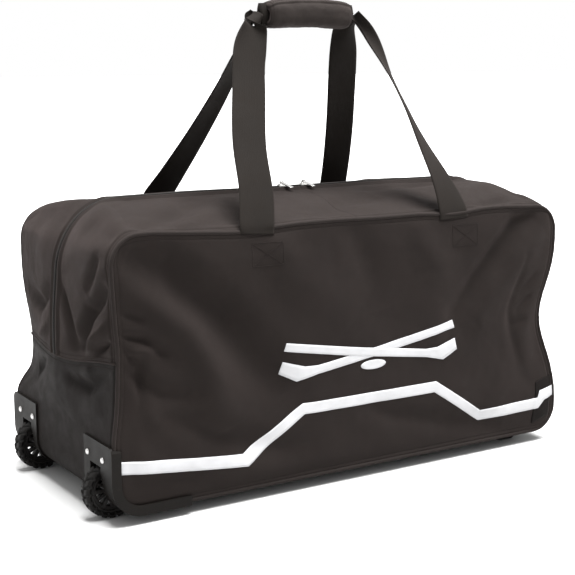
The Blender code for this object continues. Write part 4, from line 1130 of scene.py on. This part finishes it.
def grip_ring(share, inset=0.0, flap=True):
    """Points round the wrap at one place along it; the flap's edge is a step."""
    end = abs(2 * share - 1)
    swell = 0.66 + 0.34 * (1 - end ** 9) ** 0.5
    half_y, half_z = GRIP_HALF[1] * swell - inset, GRIP_HALF[2] * swell - inset
    points = []
    steps = 96
    for k in range(steps):
        angle = 2 * math.pi * k / steps
        c, s = math.cos(angle), math.sin(angle)
        power = 2 / 2.7
        y = math.copysign(abs(c) ** power, c) * half_y
        z = math.copysign(abs(s) ** power, s) * half_z
        turn = math.degrees(angle) % 360
        lift = 0.0
        if flap:
            lift = 0.0019 * float(ramp(turn, 28.0, 34.0)) * (1 - float(ramp(turn, 133.0, 137.0)))
            lift += 0.0009 * float(ramp(turn, 112.0, 115.0)) * (1 - float(ramp(turn, 133.0, 137.0)))
            lift -= 0.0007 * math.exp(-((turn - 117.5) / 1.6) ** 2)
        scale = 1 + lift / max(math.hypot(y, z), 1e-6)
        points.append((y * scale, z * scale))
    return points


def make_grip():
    """Padded wrap: a soft tube with turned-in ends, an overlapping flap and a bound edge."""
    stations = np.concatenate([[0.0], 0.5 - 0.5 * np.cos(np.linspace(0.12, np.pi - 0.12, 64)), [1.0]])
    rings, cloth = [], []
    low, span = GRIP[0][0], GRIP[1][0] - GRIP[0][0]
    for inset, shares in ((0.0, stations), (0.0052, stations[::-1])):
        for share in shares:
            x = low + span * share
            arch = 0.0040 * (1 - (2 * share - 1) ** 2) - 0.0030
            ring = []
            for k, (y, z) in enumerate(grip_ring(share, inset, inset == 0.0)):
                ring.append((x, y, GRIP_MID[2] + z + arch))
                cloth.append((x - low, 0.0015 * k, inset))
            rings.append(ring)
    points = np.array(rings)
    count, steps = points.shape[:2]
    outer = len(stations)
    puff = 0.0010 * field(points[:outer], 55.0, 2.0) + 0.0004 * field(points[:outer], 160.0, 7.0)
    centre = points[:outer].mean(axis=1, keepdims=True)
    away = points[:outer] - centre
    away[..., 0] = 0.0
    away /= np.linalg.norm(away, axis=-1, keepdims=True)
    points[:outer] += away * (puff - 0.0008)[..., None]
    piece = new_mesh("grip_pad", points.reshape(-1, 3), ring_faces(count, steps, True), cloth)
    outward_normals(piece)
    finish(piece, "grip", "carry_handle", "grip_wrap")
    seam = int(round(117.5 / 360 * steps))
    under = int(round(24.0 / 360 * steps))
    lines = [(points[3:outer - 3, k], away[3:outer - 3, k]) for k in (seam, under)]
    for i in (5, outer - 6):
        loop = np.concatenate([points[i], points[i][:1]])
        lines.append((loop, np.concatenate([away[i], away[i][:1]])))
    stitches("grip_stitches", lines, "carry_handle", pitch=0.0038, length=0.0028)


# ---------------------------------------------------------------- wheels
TREADS = 19
TREAD_DEPTH = 0.0030
SPOKES = 6                # as many webs are added between the hub's own spokes


def from_axle(centre, radius, angle, y=0.0):
    return centre[0] + radius * math.cos(angle), centre[1] + y, centre[2] + radius * math.sin(angle)


def lathed(profile, centre, steps, lift=None):
    """Closed profile of (radius, y) points turned about the axle."""
    points, cloth = [], []
    for i in range(steps):
        angle = 2 * math.pi * i / steps
        for radius, y in profile:
            near = radius + (lift(angle, radius, y) if lift else 0.0)
            points.append(from_axle(centre, near, angle, y))
            cloth.append((radius * angle, y, 0.0))
    return points, ring_faces(steps, len(profile), True), cloth


def make_wheel(face):
    """Tyre with two staggered rows of slanted blocks, and more spokes and a ring in the hub."""
    low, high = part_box(f"tyre_{face}")
    centre = [(a + b) / 2 for a, b in zip(low, high)]
    radius, half = (high[2] - low[2]) / 2, (high[1] - low[1]) / 2
    hub_low, hub_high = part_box(f"hub_{face}")
    rim = (hub_high[2] - hub_low[2]) / 2

    def tread(angle, out, y):
        phase = angle * TREADS / (2 * math.pi) + (0.5 if y > 0 else 0.0) + 0.45 * abs(y) / half
        block = 1 - float(ramp(abs(phase % 1 - 0.5) * 2, 0.60, 0.80))
        block *= 0.35 + 0.65 * float(ramp(abs(y), 0.0005, 0.0018))
        return -TREAD_DEPTH * (1 - block) * float(ramp(out, radius - 0.0125, radius - 0.005))

    side = [(rim + 0.0001, 0.70), (rim + 0.0016, 0.86), (rim + 0.0034, 0.93), (radius - 0.0068, 1.0),
            (radius - 0.0044, 1.0), (radius - 0.0026, 0.96), (radius - 0.0012, 0.88),
            (radius - 0.0005, 0.78)]
    crown = [(radius - 0.0004 * t * t, t * 0.70 * half) for t in np.linspace(-1, 1, 19)]
    profile = [(r, -share * half) for r, share in side] + crown
    profile += [(r, share * half) for r, share in side[::-1]]
    tyre = gathered(f"treaded_tyre_{face}", [lathed(profile, centre, TREADS * 18, tread)])
    outward_normals(tyre)
    finish(tyre, "tyre", f"wheel_{face}", f"tyre_{face}")
    wide = 0.0052
    ring = [(rim - 0.0098, -0.0036), (rim - 0.0090, -wide), (rim - 0.0046, -wide), (rim - 0.0040, -0.0030),
            (rim - 0.0040, 0.0030), (rim - 0.0046, wide), (rim - 0.0090, wide), (rim - 0.0098, 0.0036)]
    shapes = [lathed(ring, centre, 96)]
    for i in range(SPOKES):
        angle = 2 * math.pi * (i + 0.5) / SPOKES
        reach = np.linspace(0.0115, rim - 0.0035, 9)
        path = [from_axle(centre, r, angle) for r in reach]
        shapes.append(band_shape(path, [(0.0, 1.0, 0.0)] * 9, 0.0098, 0.0042))
    webs = gathered(f"hub_webs_{face}", shapes)
    outward_normals(webs)
    finish(webs, "hub", f"wheel_{face}")


# ---------------------------------------------------------------- on the front panel
def tree_of(piece):
    bpy.context.view_layer.update()
    return BVHTree.FromObject(piece, bpy.context.evaluated_depsgraph_get())


def on_panel(trees, sign, points, lift):
    """Drop (x, z) points on the outermost of the sheets and raise them by `lift`."""
    placed, away = [], []
    for x, z in points:
        start = Vector((x, sign * (HALF_D + 0.1), z))
        hits = [tree.ray_cast(start, Vector((0, -sign, 0))) for tree in trees]
        hits = [(hit, normal) for hit, normal, _, _ in hits if hit is not None]
        hits.append((Vector((x, sign * (HALF_D - 0.05), z)), Vector((0, sign, 0))))
        hit, normal = max(hits, key=lambda pair: pair[0].y * sign)
        if normal.y * sign < 0:
            normal = -normal
        placed.append(tuple(hit + normal * lift))
        away.append(tuple(normal))
    return np.array(placed), np.array(away)


STRIPE_TOP = [(-0.415, 0.098), (-0.209, 0.076), (-0.103, 0.138), (0.154, 0.138),
              (0.252, 0.074), (0.375, 0.079), (0.380, 0.091), (0.413, 0.096)]
STRIPE_LOW = [(-0.415, 0.079), (-0.201, 0.056), (-0.100, 0.121), (0.151, 0.120),
              (0.250, 0.056), (0.378, 0.060), (0.392, 0.073), (0.413, 0.078)]


def ribbon(trees, sign, upper, lower, step=0.003, columns=7, lift=0.00035):
    """Strip of print between two lines of (x, z) points, laid on the panel."""
    rows = []
    for (a, b), (c, d) in zip(zip(upper, upper[1:]), zip(lower, lower[1:])):
        pieces = max(1, int(max(math.dist(a, b), math.dist(c, d)) / step))
        for i in range(pieces + (1 if b == upper[-1] else 0)):
            t = i / pieces
            high = (mix(a[0], b[0], t), mix(a[1], b[1], t))
            low = (mix(c[0], d[0], t), mix(c[1], d[1], t))
            rows.append([(mix(low[0], high[0], k / (columns - 1)), mix(low[1], high[1], k / (columns - 1)))
                         for k in range(columns)])
    flat = [p for row in rows for p in row]
    points, _ = on_panel(trees, sign, flat, lift)
    return points, grid_faces(len(rows), columns), [(x, z, 0.0) for x, z in flat]


EMBLEM_X, EMBLEM_Z = 0.027, 0.203      # where the sticks cross
PUCK_W, PUCK_H, PUCK_Z = 0.048, 0.015, 0.183


def stick(mirror, x_mid):
    """Upper and lower edge of a slim hockey stick lying across the panel."""
    upper = [(0.160, 0.0330), (0.020, 0.0095), (-0.104, -0.0080), (-0.126, -0.0075), (-0.163, 0.0030)]
    lower = [(0.163, 0.0200), (0.022, -0.0040), (-0.104, -0.0215), (-0.140, -0.0300), (-0.168, -0.0160)]
    return [[(x_mid + mirror * x, EMBLEM_Z + z) for x, z in line] for line in (upper, lower)]


def make_prints(trees, sign):
    """White angular stripe, and a plain emblem of two crossed sticks and a puck."""
    stripe = gathered("stripe", [ribbon(trees, sign, STRIPE_TOP, STRIPE_LOW)])
    shapes = []
    for mirror, lift in ((1, 0.00035), (-1, 0.00060)):
        upper, lower = stick(mirror, EMBLEM_X)
        shapes.append(ribbon(trees, sign, upper, lower, columns=5, lift=lift))
    emblem = gathered("emblem_sticks", shapes)
    ring = 36
    turns = [2 * math.pi * k / ring for k in range(ring)]
    rows = [[(EMBLEM_X + PUCK_W / 2 * scale * math.cos(turn), PUCK_Z + PUCK_H / 2 * scale * math.sin(turn))
             for turn in turns] for scale in np.linspace(0.02, 1.0, 5)]
    flat = [p for row in rows for p in row]
    points, _ = on_panel(trees, sign, flat, 0.00035)
    faces = ring_faces(len(rows), ring, False)[:-1]
    puck = gathered("emblem_puck", [(points, faces, [(x, z, 0.0) for x, z in flat])])
    for piece in (stripe, emblem, puck):
        face_outward(piece, LOW_MIDDLE)
        thicken(piece, 0.00025, 1.0)
        finish(piece, "print", "shell")


def make_box_stitches(trees):
    """Crossed boxes that hold the straps' ends inside the panels."""
    places = {("front", -1): (-0.167, 0.207), ("rear", 1): (-0.160, 0.203)}
    for (face, sign), xs in places.items():
        lines = []
        for x in xs:
            half_w, top, low = STRAP_W / 2 - 0.003, 0.391, 0.357
            corners = [(x - half_w, low), (x + half_w, low), (x + half_w, top), (x - half_w, top)]
            runs = list(zip(corners, corners[1:] + corners[:1]))
            runs += [(corners[0], corners[2]), (corners[1], corners[3])]
            for a, b in runs:
                flat = [(mix(a[0], b[0], t), mix(a[1], b[1], t)) for t in np.linspace(0, 1, 14)]
                lines.append(on_panel(trees[face], sign, flat, 0.0001))
        stitches(f"{face}_box_stitches", lines, "shell", pitch=0.0034, length=0.0026)


def make_anchors(faces):
    """Doubled cloth behind the panels, where the straps' ends are sewn in."""
    for face, (grid, towards, us, vs, _) in faces.items():
        for end in ("wheel_end", "tow_end"):
            node = f"strap_anchor_{face}_{end}"
            low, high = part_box(node)
            i = slice(row_near(us, low[0] + EDGE_X), row_near(us, high[0] + EDGE_X) + 1)
            top = min(high[2] - PANEL_LOW, PANEL_H - 0.006)
            j = slice(row_near(vs, low[2] - PANEL_LOW), row_near(vs, top) + 1)
            sheet = grid[i, j] - towards[i, j] * 0.0016
            outward = (0, -1 if face == "front" else 1, 0)
            piece = grid_object(f"anchor_{face}_{end}", sheet, us[i], vs[j], outward)
            thicken(piece, 0.0013)
            finish(piece, "webbing", "shell", node)


def make_corner_patch(trees):
    """Small reinforcing piece sewn over the lower corner at the tow end of the front."""
    upper = [(0.372, 0.106), (0.390, 0.112), (0.411, 0.114)]
    lower = [(0.366, 0.034), (0.386, 0.040), (0.404, 0.046)]
    piece = gathered("corner_patch", [ribbon(trees, -1, upper, lower, columns=22, lift=0.0009)])
    face_outward(piece, LOW_MIDDLE)
    thicken(piece, 0.0011)
    finish(piece, "base_fabric", "shell")
    return piece


# ---------------------------------------------------------------- tow loop
def make_tow_loop():
    low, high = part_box("tow_loop")
    mid = [(a + b) / 2 for a, b in zip(low, high)]
    half_x, half_z = (high[0] - low[0]) / 2 - 0.0012, (high[2] - low[2]) / 2 - 0.0012
    count = 90
    path, wide = [], []
    for i in range(count + 1):
        angle = 2 * math.pi * i / count + math.pi / 2
        path.append((mid[0] + half_x * math.cos(angle), mid[1], mid[2] + half_z * math.sin(angle)))
        wide.append((0.0, 1.0, 0.0))
    piece = gathered("tow_webbing", [band_shape(path, wide, high[1] - low[1], 0.0023)])
    finish(piece, "webbing", "tow_loop", "tow_loop")
    lines = []
    for y in np.linspace(low[1] + 0.004, high[1] - 0.004, 4):
        rail = [(p[0], y, p[2]) for p in path[8:24]]
        away = [(-1.0, 0.0, 0.15) for _ in rail]
        lines.append((np.array(rail) + np.array(away) * 0.0013, away))
    stitches("tow_loop_stitches", lines, "tow_loop")


# ---------------------------------------------------------------- stage
def make_stage():
    bpy.ops.mesh.primitive_grid_add(x_subdivisions=8, y_subdivisions=8, size=60.0, location=(0, 0, 0))
    floor = bpy.context.object
    floor.name = "floor"
    n = Nodes("pale_floor")
    place = n.place(False)
    n.link(n.blend(n.noise(place, 3.0, 3.0), (0.44, 0.44, 0.44), (0.47, 0.47, 0.465)),
           n.shader.inputs["Base Color"])
    n.shader.inputs["Roughness"].default_value = 0.75
    floor.data.materials.append(n.material)
    world = bpy.data.worlds.new("studio")
    bpy.context.scene.world = world
    bpy.context.scene.view_settings.view_transform = "Standard"
    world.use_nodes = True
    world.node_tree.nodes["Background"].inputs["Color"].default_value = (1.0, 1.0, 1.0, 1.0)
    world.node_tree.nodes["Background"].inputs["Strength"].default_value = 1.0
    lights = {
        # name: kind, place, size (an angle for the sun), strength
        "sky_panel": ("SUN", (0.34, -0.22, 2.9), math.radians(38), 14.5),
        "fill": ("AREA", (2.8, -1.9, 1.3), 1.6, 9.0),
    }
    for name, (kind, place, size, power) in lights.items():
        lamp = bpy.data.lights.new(name, kind)
        lamp.energy = power
        if kind == "SUN":
            lamp.angle = size
        else:
            lamp.size = size
        holder = bpy.data.objects.new(name, lamp)
        holder.location = place
        aim = Vector((0, 0, 0.3)) - Vector(place)
        holder.rotation_euler = aim.to_track_quat("-Z", "Y").to_euler()
        bpy.context.scene.collection.objects.link(holder)


def make_camera():
    camera = bpy.data.cameras.new("camera")
    camera.lens = 81.27
    camera.sensor_width = 36.0
    camera.dof.use_dof = False
    holder = bpy.data.objects.new("camera", camera)
    holder.location = (-1.142, -1.794, 0.666)
    holder.rotation_euler = (math.radians(90 - 10.32), 0.0, math.radians(-32.18))
    bpy.context.scene.collection.objects.link(holder)
    bpy.context.scene.camera = holder


def main():
    make_camera()
    make_stage()
    dress_cad_nodes()
    sides = (("front", -1), ("rear", 1))
    faces = {face: make_face(face, sign) for face, sign in sides}
    strips = {face: make_strip(face, sign) for face, sign in sides}
    lowers = {end: make_lower_end(end, side) for end, side in (("wheel_end", -1), ("tow_end", 1))}
    make_base()
    make_end_welts()
    for face, sign in sides:
        make_piping(face, sign)
        make_zip(face, sign, strips[face])
    make_seam_stitches(faces, strips, lowers)
    make_anchors(faces)
    make_legs()
    make_grip_webbing()
    make_grip()
    for face, _ in sides:
        make_wheel(face)
    trees = {face: [tree_of(faces[face][4])] for face, _ in sides}
    patch = make_corner_patch(trees["front"])
    make_prints(trees["front"] + [tree_of(patch)], -1)
    make_box_stitches(trees)
    make_tow_loop()


main()
